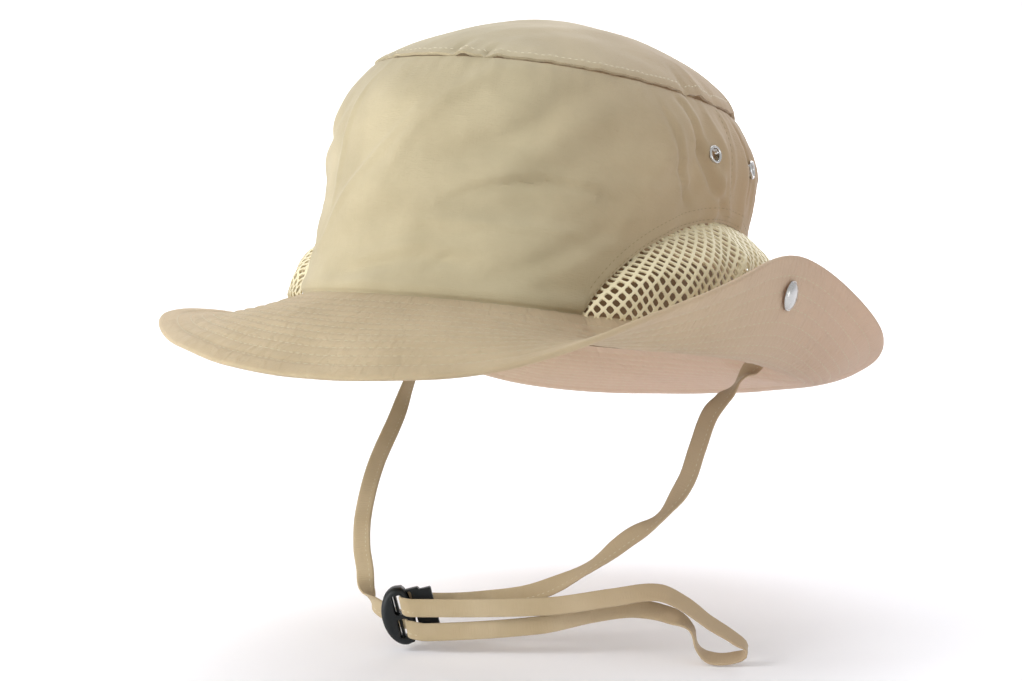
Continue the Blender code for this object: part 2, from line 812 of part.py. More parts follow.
def strapEnd(side):
    """Where one end of the tape is sewn in at the seam, against the inner face of a net, and hangs down."""
    pitch = Matrix.Rotation(math.radians(-wearPitch), 4, "X")
    angle = side * strapSeatAngle
    along = pitch.to_3x3() @ (outward(angle).cross(Vector((0.0, 0.0, 1.0))))
    seat = oval(angle, openingHalfWidth, openingHalfLength)
    seat += outward(angle) * (seamDrawn(angle) - clothWall - strapSeatGap - 0.5 * strapWall)
    rows = []
    for height in (strapSeatHeight, 0.0):
        rows.append((*(pitch @ (seat + Vector((0.0, 0.0, height)))), *along))
    return rows


def strapPoints():
    """The whole loop: from the wearer's left, through the lock, round the tail, back and up to the right."""
    deep = 0.5 * lockDepth
    out = deep + lockPass
    rows = strapEnd(1)
    rows += list(strapRoute["leftSide"])
    rows += lockPassage(0, (out, deep, -deep, -out))
    rows += list(strapRoute["tail"])
    rows += lockPassage(1, (-out, -deep, deep, out))
    rows += list(strapRoute["rightSide"])
    rows += reversed(strapEnd(-1))
    return rows


def smoothRoute(rows, spacing):
    """Points and width directions on a smooth curve through the route."""
    middles = [Vector(row[:3]) for row in rows]
    ways = [Vector(row[3:]).normalized() for row in rows]
    for k in range(1, len(ways)):
        if ways[k].dot(ways[k - 1]) < 0.0:
            ways[k] = -ways[k]
    points = []
    sides = []
    for k in range(len(middles) - 1):
        a = middles[max(k - 1, 0)]
        b = middles[k]
        c = middles[k + 1]
        d = middles[min(k + 2, len(middles) - 1)]
        span = (c - b).length
        slopeB = (c - a).normalized() * span
        slopeC = (d - b).normalized() * span
        count = max(1, round(span / spacing))
        for j in range(count):
            t = j / count
            points.append(hermite(t, b, c, slopeB, slopeC))
            sides.append(ways[k].lerp(ways[k + 1], t).normalized())
    points.append(middles[-1])
    sides.append(ways[-1])
    return points, sides


def makeStrap(material):
    """The chin strap: one flat tape along its route."""
    points, sides = smoothRoute(strapPoints(), strapSpacing)
    bm = bmesh.new()
    rings = []
    for k, point in enumerate(points):
        ahead = points[min(k + 1, len(points) - 1)] - points[max(k - 1, 0)]
        ahead.normalize()
        side = (sides[k] - ahead * sides[k].dot(ahead)).normalized()
        face = ahead.cross(side)
        halfWide = side * 0.5 * strapWidth
        halfDeep = face * 0.5 * strapWall
        corners = (halfWide + halfDeep, halfDeep - halfWide, -halfWide - halfDeep, halfWide - halfDeep)
        rings.append([bm.verts.new(point + corner) for corner in corners])
    for here, there in zip(rings, rings[1:]):
        for j in range(4):
            n = (j + 1) % 4
            bm.faces.new((here[j], here[n], there[n], there[j]))
    bm.faces.new(list(reversed(rings[0])))
    bm.faces.new(rings[-1])
    return addObject("chin_strap", bm, material)


def main():
    clearScene()
    khaki = makeMaterial("khaki_cloth", (0.50, 0.39, 0.26), 0.85)
    cream = makeMaterial("cream_net", (0.80, 0.74, 0.55), 0.8)
    brown = makeMaterial("brown_band", (0.30, 0.22, 0.14), 0.85)
    steel = makeMaterial("nickel_metal", (0.72, 0.72, 0.72), 0.25, 1.0)
    tape = makeMaterial("khaki_tape", (0.56, 0.46, 0.33), 0.85)
    black = makeMaterial("black_plastic", (0.02, 0.025, 0.024), 0.4)

    worn = addPivot("worn_hat", Matrix.Rotation(math.radians(-wearPitch), 4, "X"))
    makeCrownTop(khaki, worn)
    front = crownPanel("crown_front", frontAngles(), khaki, worn)
    back = crownPanel("crown_back", backAngles(), khaki, worn)
    makeBrim(khaki, worn)
    makeSweatband(brown, worn)
    makeNet("vent_net_left", 1, cream, worn)
    makeNet("vent_net_right", -1, cream, worn)
    for panel, word in ((front, "_front"), (back, "_back")):
        panel.parent = None
        for name, angle in eyeletPlaces():
            if name.endswith(word):
                cutAway(panel, eyeletCutter(angle), "eyelet_cutter")
        panel.parent = worn
    for name, angle in eyeletPlaces():
        makeEyelet(name, angle, steel, worn)
    makeSnap("brim_snap_left", 1, steel, worn)
    makeSnap("brim_snap_right", -1, steel, worn)

    makeLockBody(black)
    makeLockButton(black)
    makeStrap(tape)


main()
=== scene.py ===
import math

import bmesh
import bpy
from mathutils import Matrix, Vector, noise


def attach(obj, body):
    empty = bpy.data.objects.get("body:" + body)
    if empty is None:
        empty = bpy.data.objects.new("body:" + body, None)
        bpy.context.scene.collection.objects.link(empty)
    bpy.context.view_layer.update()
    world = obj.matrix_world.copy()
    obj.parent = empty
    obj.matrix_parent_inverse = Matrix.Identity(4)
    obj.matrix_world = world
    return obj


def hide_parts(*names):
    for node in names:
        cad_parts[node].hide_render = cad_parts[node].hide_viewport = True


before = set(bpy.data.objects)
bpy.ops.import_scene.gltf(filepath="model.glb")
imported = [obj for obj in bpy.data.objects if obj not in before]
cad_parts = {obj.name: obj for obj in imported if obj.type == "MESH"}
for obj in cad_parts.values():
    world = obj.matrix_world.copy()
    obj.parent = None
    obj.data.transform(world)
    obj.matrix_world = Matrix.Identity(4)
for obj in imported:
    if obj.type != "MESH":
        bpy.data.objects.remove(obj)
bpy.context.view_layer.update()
print("frame loaded")

view = {
    "azimuth": 32.44, "elevation": 6.40, "distance": 1.10,  # degrees and metres from the head opening
    "lens": 89.2, "sensor": 36.0,
    "shiftX": -0.0139, "shiftY": -0.0177,
}


def pointedTo(azimuth, elevation):
    # the way from the head opening to a camera or a lamp; azimuth 0 is the hat's front
    turn = math.radians(azimuth)
    rise = math.radians(elevation)
    return Vector((math.sin(turn) * math.cos(rise), -math.cos(turn) * math.cos(rise), math.sin(rise)))


def addObject(name, data):
    made = bpy.data.objects.new(name, data)
    bpy.context.scene.collection.objects.link(made)
    return made


def setCamera():
    turn = math.radians(view["azimuth"])
    back = pointedTo(view["azimuth"], view["elevation"])
    right = Vector((math.cos(turn), math.sin(turn), 0.0))
    data = bpy.data.cameras.new("camera")
    data.sensor_width = view["sensor"]
    data.lens = view["lens"]
    data.shift_x = view["shiftX"]
    data.shift_y = view["shiftY"]
    camera = addObject("camera", data)
    place = Matrix((right, back.cross(right), back)).transposed().to_4x4()
    place.translation = back * view["distance"]
    camera.matrix_world = place
    bpy.context.scene.camera = camera


setCamera()
print("camera set")

# The hat's own form, in metres and degrees; angle 0 is the front and 90 the wearer's left
hat = {
    "pitch": 11.5,
    "halfWidth": 0.085, "halfLength": 0.109, "fullness": 0.035,
    "crownHeight": 0.1002, "topHalfWidth": 0.0695, "topHalfLength": 0.0950, "topShift": 0.0075,
    "frontBulge": 0.0072, "backBulge": 0.0088, "bulgeRaise": 2.6,
    "domeRise": 0.031, "domeShift": 0.014, "domeFront": 1.03, "domeBack": 0.58, "domeRipple": 0.035,
    "cloth": 0.0012, "gap": 0.0003,
    "sideSeam": 101.0, "foldDepth": 0.0030,
}
meanRadius = 0.5 * (hat["halfWidth"] + hat["halfLength"])

vent = {
    "halfAngle": 48.0, "height": 0.049, "flare": 0.0195, "seamFlare": 0.0175, "spread": 4.5, "rise": 1.2,
    "ease": 2.3,          # how gently the net leaves the cloth's edge near its ends
    "pitch": 0.0054,      # from one diamond of the net to the next
    "strand": 0.00092,    # width of a strand
    "tall": 1.10,         # how much taller than wide the net's gaps are pulled
    "archPower": 1.9, "frontRound": 0.74, "backRound": 0.58,
    "thick": 0.0009,
    "tuck": 0.0045,       # how far the net runs on under the cloth
    "under": 0.0017, "below": 0.0014,
    "pucker": 0.0010, "bunch": 0.0030,
}

brim = {
    "width": 0.065, "wall": 0.0018,
    "hem": 0.0058, "rowStep": 0.0056, "rowCount": 10,
    "groove": 0.00045, "grooveWidth": 0.0011, "hemLift": 0.00035,
    "ripple": 0.00026, "rippleLength": 0.0042,
    "slant": 0.35,          # how far the ripples lean along the rows
    "crinkle": 0.00040, "crinkleLength": 0.0036,
    "crinkleAt": 106.0, "crinkleSpan": 11.0, "crinkleShare": 0.58, "crinkleReach": 0.26,
    "handle": 0.42,         # length of the curve's handles as a share of the width
    "columns": 640,
    "stitch": {"pitch": 0.0034, "fill": 0.74, "lift": 0.00004, "width": 0.00034},
}

brimTable = (
    # angle, rootDrop, rimOut, rimRise, rimPitch
    (-180, 26, 0.935, -0.23, -8),
    (-150, 26, 0.920, -0.30, -12),
    (-120, 22, 0.945, -0.15, 0),
    (-90, 22, 0.945, -0.09, 6),
    (-60, 22, 0.915, -0.17, 0),
    (-30, 26, 0.820, -0.42, -34),
    (0, 28, 0.800, -0.56, -44),
    (30, 26, 0.880, -0.42, -32),
    (60, 42, 0.810, 0.13, 46),
    (90, 60, 0.650, 0.52, 90),
    (120, 56, 0.915, 0.20, 50),
    (150, 38, 0.965, -0.07, 6),
    (180, 26, 0.935, -0.23, -8),
)

foldTable = (
    # angle, height, turn, halfLength, halfWidth, depth: lengths as shares of the crown's height
    (-14, 0.42, 24, 0.55, 0.10, 0.55),
    (22, 0.30, -14, 0.60, 0.09, 0.60),
    (48, 0.62, 38, 0.45, 0.09, -0.70),
    (70, 0.66, 62, 0.34, 0.07, 0.90),
    (84, 0.70, 76, 0.28, 0.05, -0.90),
    (93, 0.62, 84, 0.28, 0.04, 0.90),
    (108, 0.66, 96, 0.28, 0.05, 0.80),
    (-52, 0.60, 66, 0.40, 0.09, 0.70),
    (-84, 0.66, 100, 0.30, 0.06, -0.80),
    (-108, 0.60, 84, 0.30, 0.06, 0.80),
    (150, 0.55, 20, 0.50, 0.10, 0.60),
    (-155, 0.48, -22, 0.50, 0.10, -0.60),
)

# Finer creases of the side wall, each a line of places on it; the lip beside a crease is a share of its depth
creaseLines = (
    # depth and width in millimetres, lip, then (angle, height as a share of the crown's) along the line
    (1.0, 1.9, 0.6, ((13, 0.38), (20.5, 0.44), (31.5, 0.49), (39.5, 0.51), (51, 0.50), (60, 0.46))),
    (2.3, 6.5, 0.4, ((56, 0.97), (41, 0.85), (35.5, 0.74), (27.5, 0.66), (17, 0.60), (4, 0.56))),
    (1.0, 3.2, 0.5, ((-18, 0.07), (-6, 0.11), (0.5, 0.13), (10, 0.16), (26, 0.15))),
    (0.5, 2.2, 0.5, ((10, 0.10), (14, 0.13), (19, 0.18))),
    (-0.8, 2.4, 0.0, ((2, 0.28), (10, 0.31), (33, 0.32), (48.5, 0.32), (60, 0.28))),
    (-0.8, 1.9, 0.0, ((-22, 0.96), (-24, 0.90), (-28.5, 0.65), (-29.5, 0.33))),
    (-0.9, 2.0, 0.0, ((4, 0.82), (-1, 0.73), (-16.5, 0.50), (-26, 0.34), (-33, 0.20))),
    (-1.4, 4.6, 0.0, ((36, 0.98), (21.5, 0.95), (10, 0.82), (3, 0.73), (-2.5, 0.60), (-7, 0.46))),
    (0.7, 3.6, 0.5, ((61, 0.44), (57, 0.36), (45, 0.22), (34, 0.12))),
    (0.6, 3.0, 0.5, ((88, 0.86), (80, 0.68), (68, 0.60), (54, 0.60))),
    (1.5, 2.3, 0.7, ((76, 0.99), (79.5, 0.94), (87.5, 0.69), (92, 0.60), (99, 0.53))),
    (-1.0, 2.4, 0.0, ((90, 0.97), (94, 0.80), (98, 0.64), (100, 0.54))),
    (1.0, 1.8, 0.6, ((70, 0.92), (74, 0.76), (78, 0.62), (84, 0.50))),
    (1.4, 2.0, 0.6, ((108, 0.97), (110, 0.80), (113, 0.62))),
    (-0.9, 2.2, 0.0, ((116, 0.92), (118, 0.70), (122, 0.55))),
    (1.3, 2.2, 0.5, ((125, 0.97), (126, 0.80), (130, 0.58), (134, 0.44))),
    (1.0, 3.0, 0.5, ((146, 0.28), (162, 0.34), (180, 0.32), (200, 0.25))),
    (1.1, 3.6, 0.4, ((160, 0.78), (178, 0.72), (200, 0.76), (214, 0.84))),
    (-0.9, 2.8, 0.0, ((150, 0.62), (168, 0.54), (190, 0.52), (206, 0.56))),
    (1.4, 2.4, 0.6, ((-76, 0.99), (-84, 0.75), (-94, 0.56))),
    (-1.0, 2.4, 0.0, ((-92, 0.96), (-96, 0.78), (-99, 0.60))),
    (1.3, 2.2, 0.5, ((-110, 0.96), (-112, 0.78), (-116, 0.58))),
    (1.0, 3.4, 0.5, ((-64, 0.52), (-52, 0.34), (-40, 0.18), (-30, 0.10))),
    (1.1, 4.2, 0.4, ((-30, 0.86), (-44, 0.70), (-58, 0.62), (-70, 0.60))),
)


def wrapped(angle):
    return (angle + 180.0) % 360.0 - 180.0


def clamp(value):
    return min(max(value, 0.0), 1.0)


def bell(off, width, power=2):
    # a smooth rise to 1 where off is 0, gone at about twice the width
    return math.exp(-((off / width) ** power))


def noiseAt(x, y, z):
    return noise.noise(Vector((x, y, z)))


def oval(angle, halfWidth, halfLength, shift=0.0):
    turn = math.radians(angle)
    full = 1.0 + hat["fullness"] * math.sin(2.0 * turn) ** 2
    return Vector((full * halfWidth * math.sin(turn), shift - full * halfLength * math.cos(turn), 0.0))


def headOval(angle):
    return oval(angle, hat["halfWidth"], hat["halfLength"])


def topOval(angle):
    return oval(angle, hat["topHalfWidth"], hat["topHalfLength"], hat["topShift"])


def outward(angle):
    turn = math.radians(angle)
    return Vector((math.sin(turn) / hat["halfWidth"], -math.cos(turn) / hat["halfLength"], 0.0)).normalized()


def foldSum(angle, height):
    total = 0.0
    girth = math.radians(1.0) * meanRadius / hat["crownHeight"]
    for middle, level, turn, halfLength, halfWidth, depth in foldTable:
        across = wrapped(angle - middle) * girth
        up = height - level
        bend = math.radians(turn)
        along = across * math.cos(bend) + up * math.sin(bend)
        aside = up * math.cos(bend) - across * math.sin(bend)
        far = (along / halfLength) ** 2 + (aside / halfWidth) ** 2
        if far < 9.0:
            total += depth * math.exp(-far)
    return total * math.sin(math.pi * clamp(height)) ** 0.5


def ventShare(angle, grow=0.0):
    off = abs(abs(wrapped(angle)) - hat["sideSeam"])
    return off / (vent["halfAngle"] + math.degrees(grow / hat["halfWidth"]))


def archHeight(angle, grow=0.0):
    share = ventShare(angle, grow)
    if share >= 1.0:
        return 0.0
    # the cloth's edge runs up straighter in front of the side seam than behind it
    roundness = vent["frontRound"] if abs(wrapped(angle)) < hat["sideSeam"] else vent["backRound"]
    return (vent["height"] + grow) * (1.0 - share ** vent["archPower"]) ** roundness


def seamDrawn(angle):
    return vent["seamFlare"] * max(0.0, 1.0 - ventShare(angle) ** vent["spread"])


def netFlare(angle, height):
    arch = archHeight(angle)
    if arch <= 0.0 or height >= arch:
        return 0.0
    down = min(1.0 - height / arch, 1.0)
    out = vent["flare"] * math.sin(math.pi * min(vent["rise"] * down, 0.5))
    out -= (vent["flare"] - vent["seamFlare"]) * max(0.0, down - 0.55) / 0.45
    return out * (1.0 - ventShare(angle) ** (vent["spread"] - vent["ease"] * (1.0 - down)))


def backShare(angle):
    return 0.5 * (1.0 - math.cos(math.radians(angle)))


def wallPoint(angle, height, fine=0.0):
    share = height / hat["crownHeight"]
    bulge = hat["frontBulge"] + (hat["backBulge"] - hat["frontBulge"]) * backShare(angle)
    out = bulge * math.sin(math.pi * clamp(share) ** hat["bulgeRaise"])
    out += hat["foldDepth"] * foldSum(angle, share)
    out += netFlare(angle, height) + fine
    point = headOval(angle).lerp(topOval(angle), share) + outward(angle) * out
    point.z = height
    return point


def wallNormal(angle, height):
    across = wallPoint(angle + 0.5, height) - wallPoint(angle - 0.5, height)
    up = wallPoint(angle, height + 0.0005) - wallPoint(angle, height - 0.0005)
    return across.cross(up).normalized()


def hermite(t, start, end, startSlope, endSlope):
    square = t * t
    cube = square * t
    return (
        (2.0 * cube - 3.0 * square + 1.0) * start
        + (cube - 2.0 * square + t) * startSlope
        + (3.0 * square - 2.0 * cube) * end
        + (cube - square) * endSlope
    )


def brimShape(angle):
    # the brim's curve at an angle, between the rows of its table
    turn = wrapped(angle)
    rows = len(brimTable) - 1
    place = next(k for k in range(rows) if turn <= brimTable[k + 1][0])
    near = brimTable[place]
    far = brimTable[place + 1]
    share = (turn - near[0]) / (far[0] - near[0])
    before = brimTable[place - 1 if place > 0 else rows - 1]
    beyond = brimTable[place + 2 if place + 2 <= rows else 1]
    shape = []
    for p, a, b, q in zip(before[1:], near[1:], far[1:], beyond[1:]):
        shape.append(hermite(share, a, b, 0.5 * (b - p), 0.5 * (q - a)))
    return shape


def brimPoint(angle, share):
    rootDrop, rimOut, rimRise, rimPitch = brimShape(angle)
    drop = math.radians(rootDrop)
    pitch = math.radians(rimPitch)
    handle = brim["handle"] * brim["width"]
    start = seamDrawn(angle)
    root = Vector((start + handle * math.cos(drop), -handle * math.sin(drop)))
    rim = Vector((rimOut * brim["width"], rimRise * brim["width"]))
    near = rim - Vector((handle * math.cos(pitch), handle * math.sin(pitch)))
    rest = 1.0 - share
    place = rest**3 * Vector((start, 0.0)) + 3.0 * rest * rest * share * root
    place += 3.0 * rest * share * share * near + share**3 * rim
    inner = headOval(angle) - outward(angle) * hat["cloth"]
    point = inner + outward(angle) * (place.x + hat["cloth"] * share)
    point.z = place.y
    return point


def brimNormal(angle, share):
    low = max(share - 0.01, 0.0)
    high = min(share + 0.01, 1.0)
    across = brimPoint(angle + 0.5, share) - brimPoint(angle - 0.5, share)
    out = brimPoint(angle, high) - brimPoint(angle, low)
    return out.cross(across).normalized()


def domePoint(angle, share):
    edge = wallPoint(angle, hat["crownHeight"])
    middle = Vector((0.0, hat["domeShift"], hat["crownHeight"] + hat["gap"]))
    point = edge.lerp(middle, share)
    ease = hat["domeFront"] + (hat["domeBack"] - hat["domeFront"]) * backShare(angle)
    ripple = hat["domeRipple"] * math.sin(math.radians(3.0 * angle + 40.0)) * share * (1.0 - share)
    rise = (1.0 - (1.0 - share) ** 2) ** ease + ripple
    point.z = hat["crownHeight"] + hat["gap"] + hat["cloth"] + hat["domeRise"] * rise
    return point


worn = Matrix.Rotation(math.radians(-hat["pitch"]), 4, "X")


def hexColour(code):
    # sRGB hex to the linear values that the shader works in
    parts = [int(code[k : k + 2], 16) / 255.0 for k in (1, 3, 5)]
    linear = [p / 12.92 if p <= 0.04045 else ((p + 0.055) / 1.055) ** 2.4 for p in parts]
    return (*linear, 1.0)


def addNode(tree, kind, settings=None, links=None):
    node = tree.nodes.new("ShaderNode" + kind)
    for key, value in (settings or {}).items():
        if hasattr(node, key):
            setattr(node, key, value)
        else:
            node.inputs[key].default_value = value
    for key, source in (links or {}).items():
        tree.links.new(source, node.inputs[key])
    return node


def addNoise(tree, vector, size, detail, distortion=0.0):
    settings = {"Scale": 1.0 / size, "Detail": detail, "Distortion": distortion}
    return addNode(tree, "TexNoise", settings, {"Vector": vector}).outputs["Fac"]


def addStretch(tree, vector, x, y):
    return addNode(tree, "Mapping", {"Scale": (x, y, 1.0)}, {"Vector": vector}).outputs["Vector"]


def addBump(tree, height, strength, distance, normal=None):
    links = {"Height": height}
    if normal is not None:
        links["Normal"] = normal
    return addNode(tree, "Bump", {"Strength": strength, "Distance": distance}, links).outputs["Normal"]


def mixColours(tree, share, first, second):
    # first is a hex code or the output of another mix, second a hex code
    mixed = addNode(tree, "Mix", {"data_type": "RGBA"}, {0: share})
    if isinstance(first, str):
        mixed.inputs[6].default_value = hexColour(first)
    else:
        tree.links.new(first, mixed.inputs[6])
    mixed.inputs[7].default_value = hexColour(second)
    return mixed.outputs[2]


def newMaterial(name, values):
    material = bpy.data.materials.new(name)
    material.use_nodes = True
    shader = material.node_tree.nodes["Principled BSDF"]
    for key, value in values.items():
        shader.inputs[key].default_value = value
    return material, material.node_tree, shader


# the three entries after patch set where the painted shade and painted glow of the cloth begin, end and lean;
# glow is the colour of the light that the cloth really lets through
clothLook = {
    "patch": 0.030, "paintedLightFrom": -0.04, "paintedLightTo": 0.13, "paintedLightLean": 0.75, "glow": "#E8C4AE",
    "thread": 0.0008, "slub": 0.0030, "crinkleAcross": 0.0032, "crinkleAlong": 0.0060,
}


def makeClothMaterial(name, base, shade, paintedLightTint, through, crinkled):
    # Washed cotton and polyester plain weave: matt, faintly mottled, slubs along the threads, threads drawn
    # at twice their real spacing so that they show; crinkled is for cloth drawn up by many rows of stitching
    values = {"Roughness": 0.86, "Specular IOR Level": 0.25, "Sheen Weight": 0.22, "Sheen Roughness": 0.5}
    material, tree, shader = newMaterial(name, values)
    place = addNode(tree, "TexCoord").outputs["Object"]
    patches = addNoise(tree, place, clothLook["patch"], 4.0)
    ramp = addNode(tree, "MapRange", {"From Min": 0.35, "From Max": 0.65}, {"Value": patches})
    mixed = mixColours(tree, ramp.outputs["Result"], base, shade)
    # painted light: the colour turns to a fourth one towards the wearer's left and back, the side turned from
    # the key lamp; on the crown and the tape this is a painted shade, darker and warmer, on the brim a
    # painted pinkish glow of light through the cloth
    split = addNode(tree, "SeparateXYZ", None, {"Vector": place})
    both = {0: split.outputs["X"], 2: split.outputs["Y"]}
    side = addNode(tree, "Math", {"operation": "MULTIPLY_ADD"}, both)
    side.inputs[1].default_value = clothLook["paintedLightLean"]
    span = {"From Min": clothLook["paintedLightFrom"], "From Max": clothLook["paintedLightTo"]}
    paintedLightShare = addNode(tree, "MapRange", span, {"Value": side.outputs[0]})
    paintedLightColour = mixColours(tree, paintedLightShare.outputs["Result"], mixed, paintedLightTint)
    tree.links.new(paintedLightColour, shader.inputs["Base Color"])
    flat = addNode(tree, "UVMap", {"uv_map": "cloth"}).outputs["UV"]
    fine = 1.0 / clothLook["thread"]
    warp = addNoise(tree, addStretch(tree, flat, fine, 0.12 * fine), 1.0, 1.0)
    weft = addNoise(tree, addStretch(tree, flat, 0.12 * fine, fine), 1.0, 1.0)
    woven = addNode(tree, "Math", {"operation": "ADD"}, {0: warp, 1: weft})
    slubs = addNoise(tree, addStretch(tree, flat, 1.0, 6.0), clothLook["slub"], 3.0)
    bump = addBump(tree, woven.outputs[0], 0.30, 0.0003)
    bump = addBump(tree, slubs, 0.35, 0.0005, bump)
    if crinkled:
        drawn = addStretch(tree, flat, 1.0 / clothLook["crinkleAcross"], 1.0 / clothLook["crinkleAlong"])
        bump = addBump(tree, addNoise(tree, drawn, 1.0, 2.0, 0.6), crinkled, 0.0010, bump)
    tree.links.new(bump, shader.inputs["Normal"])
    # thin cloth lets a little of the light behind it through
    glow = addNode(tree, "BsdfTranslucent", {"Color": hexColour(clothLook["glow"])}, {"Normal": bump})
    both = {1: shader.outputs["BSDF"], 2: glow.outputs["BSDF"]}
    lit = addNode(tree, "MixShader", {"Fac": through}, both)
    tree.links.new(lit.outputs["Shader"], tree.nodes["Material Output"].inputs["Surface"])
    return material


def makeThreadMaterial(name, colour):
    # Spun polyester sewing thread: paler than the cloth, slightly glossy
    values = {"Base Color": hexColour(colour), "Roughness": 0.6, "Sheen Weight": 0.3}
    return newMaterial(name, values)[0]


def makeGrainedMaterial(name, values, colours, size, detail, strength, distance):
    # two colours mixed by a grain of one size, which also lifts the surface
    material, tree, shader = newMaterial(name, values)
    grain = addNoise(tree, addNode(tree, "TexCoord").outputs["Object"], size, detail)
    tree.links.new(mixColours(tree, grain, *colours), shader.inputs["Base Color"])
    tree.links.new(addBump(tree, grain, strength, distance), shader.inputs["Normal"])
    return material


def makeNickelMaterial():
    # Nickel-plated pressed brass: bright, with fine handling marks
    values = {"Base Color": hexColour("#C4C3C0"), "Metallic": 1.0}
    material, tree, shader = newMaterial("nickelPlatedBrass", values)
    marks = addNoise(tree, addNode(tree, "TexCoord").outputs["Object"], 0.0015, 5.0)
    rough = addNode(tree, "MapRange", {"To Min": 0.16, "To Max": 0.34}, {"Value": marks})
    tree.links.new(rough.outputs["Result"], shader.inputs["Roughness"])
    return material


# the fourth colour of each cloth is painted light: a painted shade on the crown and the tape, a painted
# pinkish glow on the brim
crownKhaki = makeClothMaterial("washedKhakiCotton", "#C0B493", "#B1A585", "#B09676", 0.12, 0.0)
brimKhaki = makeClothMaterial("stitchedKhakiCotton", "#C6BA98", "#BAAE8C", "#C8B39C", 0.30, 0.80)
tapeCloth = makeClothMaterial("foldedCottonTape", "#BFAE8E", "#B2A07E", "#B8A083", 0.10, 0.0)
paleThread = makeThreadMaterial("paleSewingThread", "#CDC2A2")
ecruThread = makeThreadMaterial("ecruSewingThread", "#E0D6B8")
tanThread = makeThreadMaterial("tanSewingThread", "#9C8865")
# Warp-knitted polyester net: cream, smooth round strands with a faint knitted grain
netLook = makeGrainedMaterial(
    "knittedPolyesterNet", {"Roughness": 0.55, "Sheen Weight": 0.2}, ("#E9DFBD", "#DDD0A8"),
    0.0007, 2.0, 0.5, 0.0002,
)
# Brushed cotton sweatband: deep tan brown, soft and matt
bandLook = makeGrainedMaterial(
    "brushedCottonBand", {"Roughness": 0.95, "Sheen Weight": 0.3}, ("#8B6F4C", "#735837"),
    0.0012, 4.0, 0.4, 0.0003,
)
# Moulded black acetal: satin, a faint spark-eroded grain from the mould
acetal = makeGrainedMaterial(
    "mouldedBlackAcetal", {"Roughness": 0.48, "Specular IOR Level": 0.35}, ("#0E1213", "#0E1213"),
    0.0006, 3.0, 0.25, 0.00012,
)
nickel = makeNickelMaterial()
print("materials made")


def finishPiece(name, bm, material, body, replaced=(), angle=45, place=None):
    # recalculates the faces, makes the object at the origin and lets it ride on its body
    if place is not None:
        bm.transform(place)
    bmesh.ops.recalc_face_normals(bm, faces=bm.faces)
    if bm.calc_volume(signed=True) < 0.0:
        bmesh.ops.reverse_faces(bm, faces=bm.faces)
    mesh = bpy.data.meshes.new(name)
    bm.to_mesh(mesh)
    bm.free()
    mesh.materials.append(material)
    mesh.shade_smooth()
    mesh.set_sharp_from_angle(angle=math.radians(angle))
    piece = addObject(name, mesh)
    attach(piece, body)
    if replaced:
        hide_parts(*replaced)
    return piece


def wrapSheet(across, along, place, flat, closed=True):
    # a cloth wall from one grid: place gives each point for shares 0 to 1, flat its place on the uncut cloth
    bm = bmesh.new()
    bmesh.ops.create_grid(bm, x_segments=across, y_segments=along, size=0.5)
    sheet = bm.loops.layers.uv.new("cloth")
    for face in bm.faces:
        for loop in face.loops:
            loop[sheet].uv = flat(loop.vert.co.x + 0.5, loop.vert.co.y + 0.5)
    for vert in bm.verts:
        vert.co = place(clamp(vert.co.x + 0.5), clamp(vert.co.y + 0.5))
    if closed:
        bmesh.ops.remove_doubles(bm, verts=bm.verts, dist=1e-6)
    return bm


def stitchShape(width):
    # one stitch of length 1, to be drawn out along its row
    template = bmesh.new()
    bmesh.ops.create_icosphere(template, subdivisions=1, radius=1.0)
    bmesh.ops.scale(template, vec=(0.5, 0.5 * width, 0.32 * width), verts=template.verts)
    points = [v.co.copy() for v in template.verts]
    faces = [[v.index for v in f.verts] for f in template.faces]
    template.free()
    return points, faces


def sewRow(store, route, stitch):
    # route gives the point and the outward normal for each share of the row; stitches go in at an even pitch,
    # each filling a share of it and standing a little out of the cloth
    steps = 400
    table = [route(k / steps)[0] for k in range(steps + 1)]
    reach = [0.0]
    for a, b in zip(table, table[1:]):
        reach.append(reach[-1] + (b - a).length)
    count = int(reach[-1] / stitch["pitch"])
    place = 0
    for k in range(count):
        want = (k + 0.5) * reach[-1] / count
        while reach[place + 1] < want:
            place += 1
        share = (place + (want - reach[place]) / (reach[place + 1] - reach[place])) / steps
        point, normal = route(share)
        ahead = route(min(share + 0.5 / steps, 1.0))[0] - route(max(share - 0.5 / steps, 0.0))[0]
        if ahead.length < 1e-9:
            continue
        x = ahead.normalized()
        z = (normal - x * normal.dot(x)).normalized()
        spin = Matrix((x, z.cross(x), z)).transposed().to_4x4()
        spin.translation = point + z * stitch["lift"]
        store.append((spin, stitch["pitch"] * stitch["fill"]))


def makeStitches(name, store, stitch, material, body, place=None):
    points, faces = stitchShape(stitch["width"])
    allPoints = []
    allFaces = []
    for spin, length in store:
        start = len(allPoints)
        allPoints += [spin @ Vector((p.x * length, p.y, p.z)) for p in points]
        allFaces += [[start + v for v in f] for f in faces]
    mesh = bpy.data.meshes.new(name)
    mesh.from_pydata([tuple(p) for p in allPoints], [], allFaces)
    bm = bmesh.new()
    bm.from_mesh(mesh)
    bpy.data.meshes.remove(mesh)
    piece = finishPiece(name, bm, material, body, place=place)
    print(name, len(store), "stitches")
    return piece


# Brim: two cloth layers sewn together in rows, with a folded hem at the rim
brimLength = brim["width"] * 1.04  # across the brim along its curve


def brimRowShares():
    shares = [1.0 - (brim["hem"] + k * brim["rowStep"]) / brimLength for k in range(brim["rowCount"] + 1)]
    return [s for s in shares if s > 0.04]


rowShares = brimRowShares()


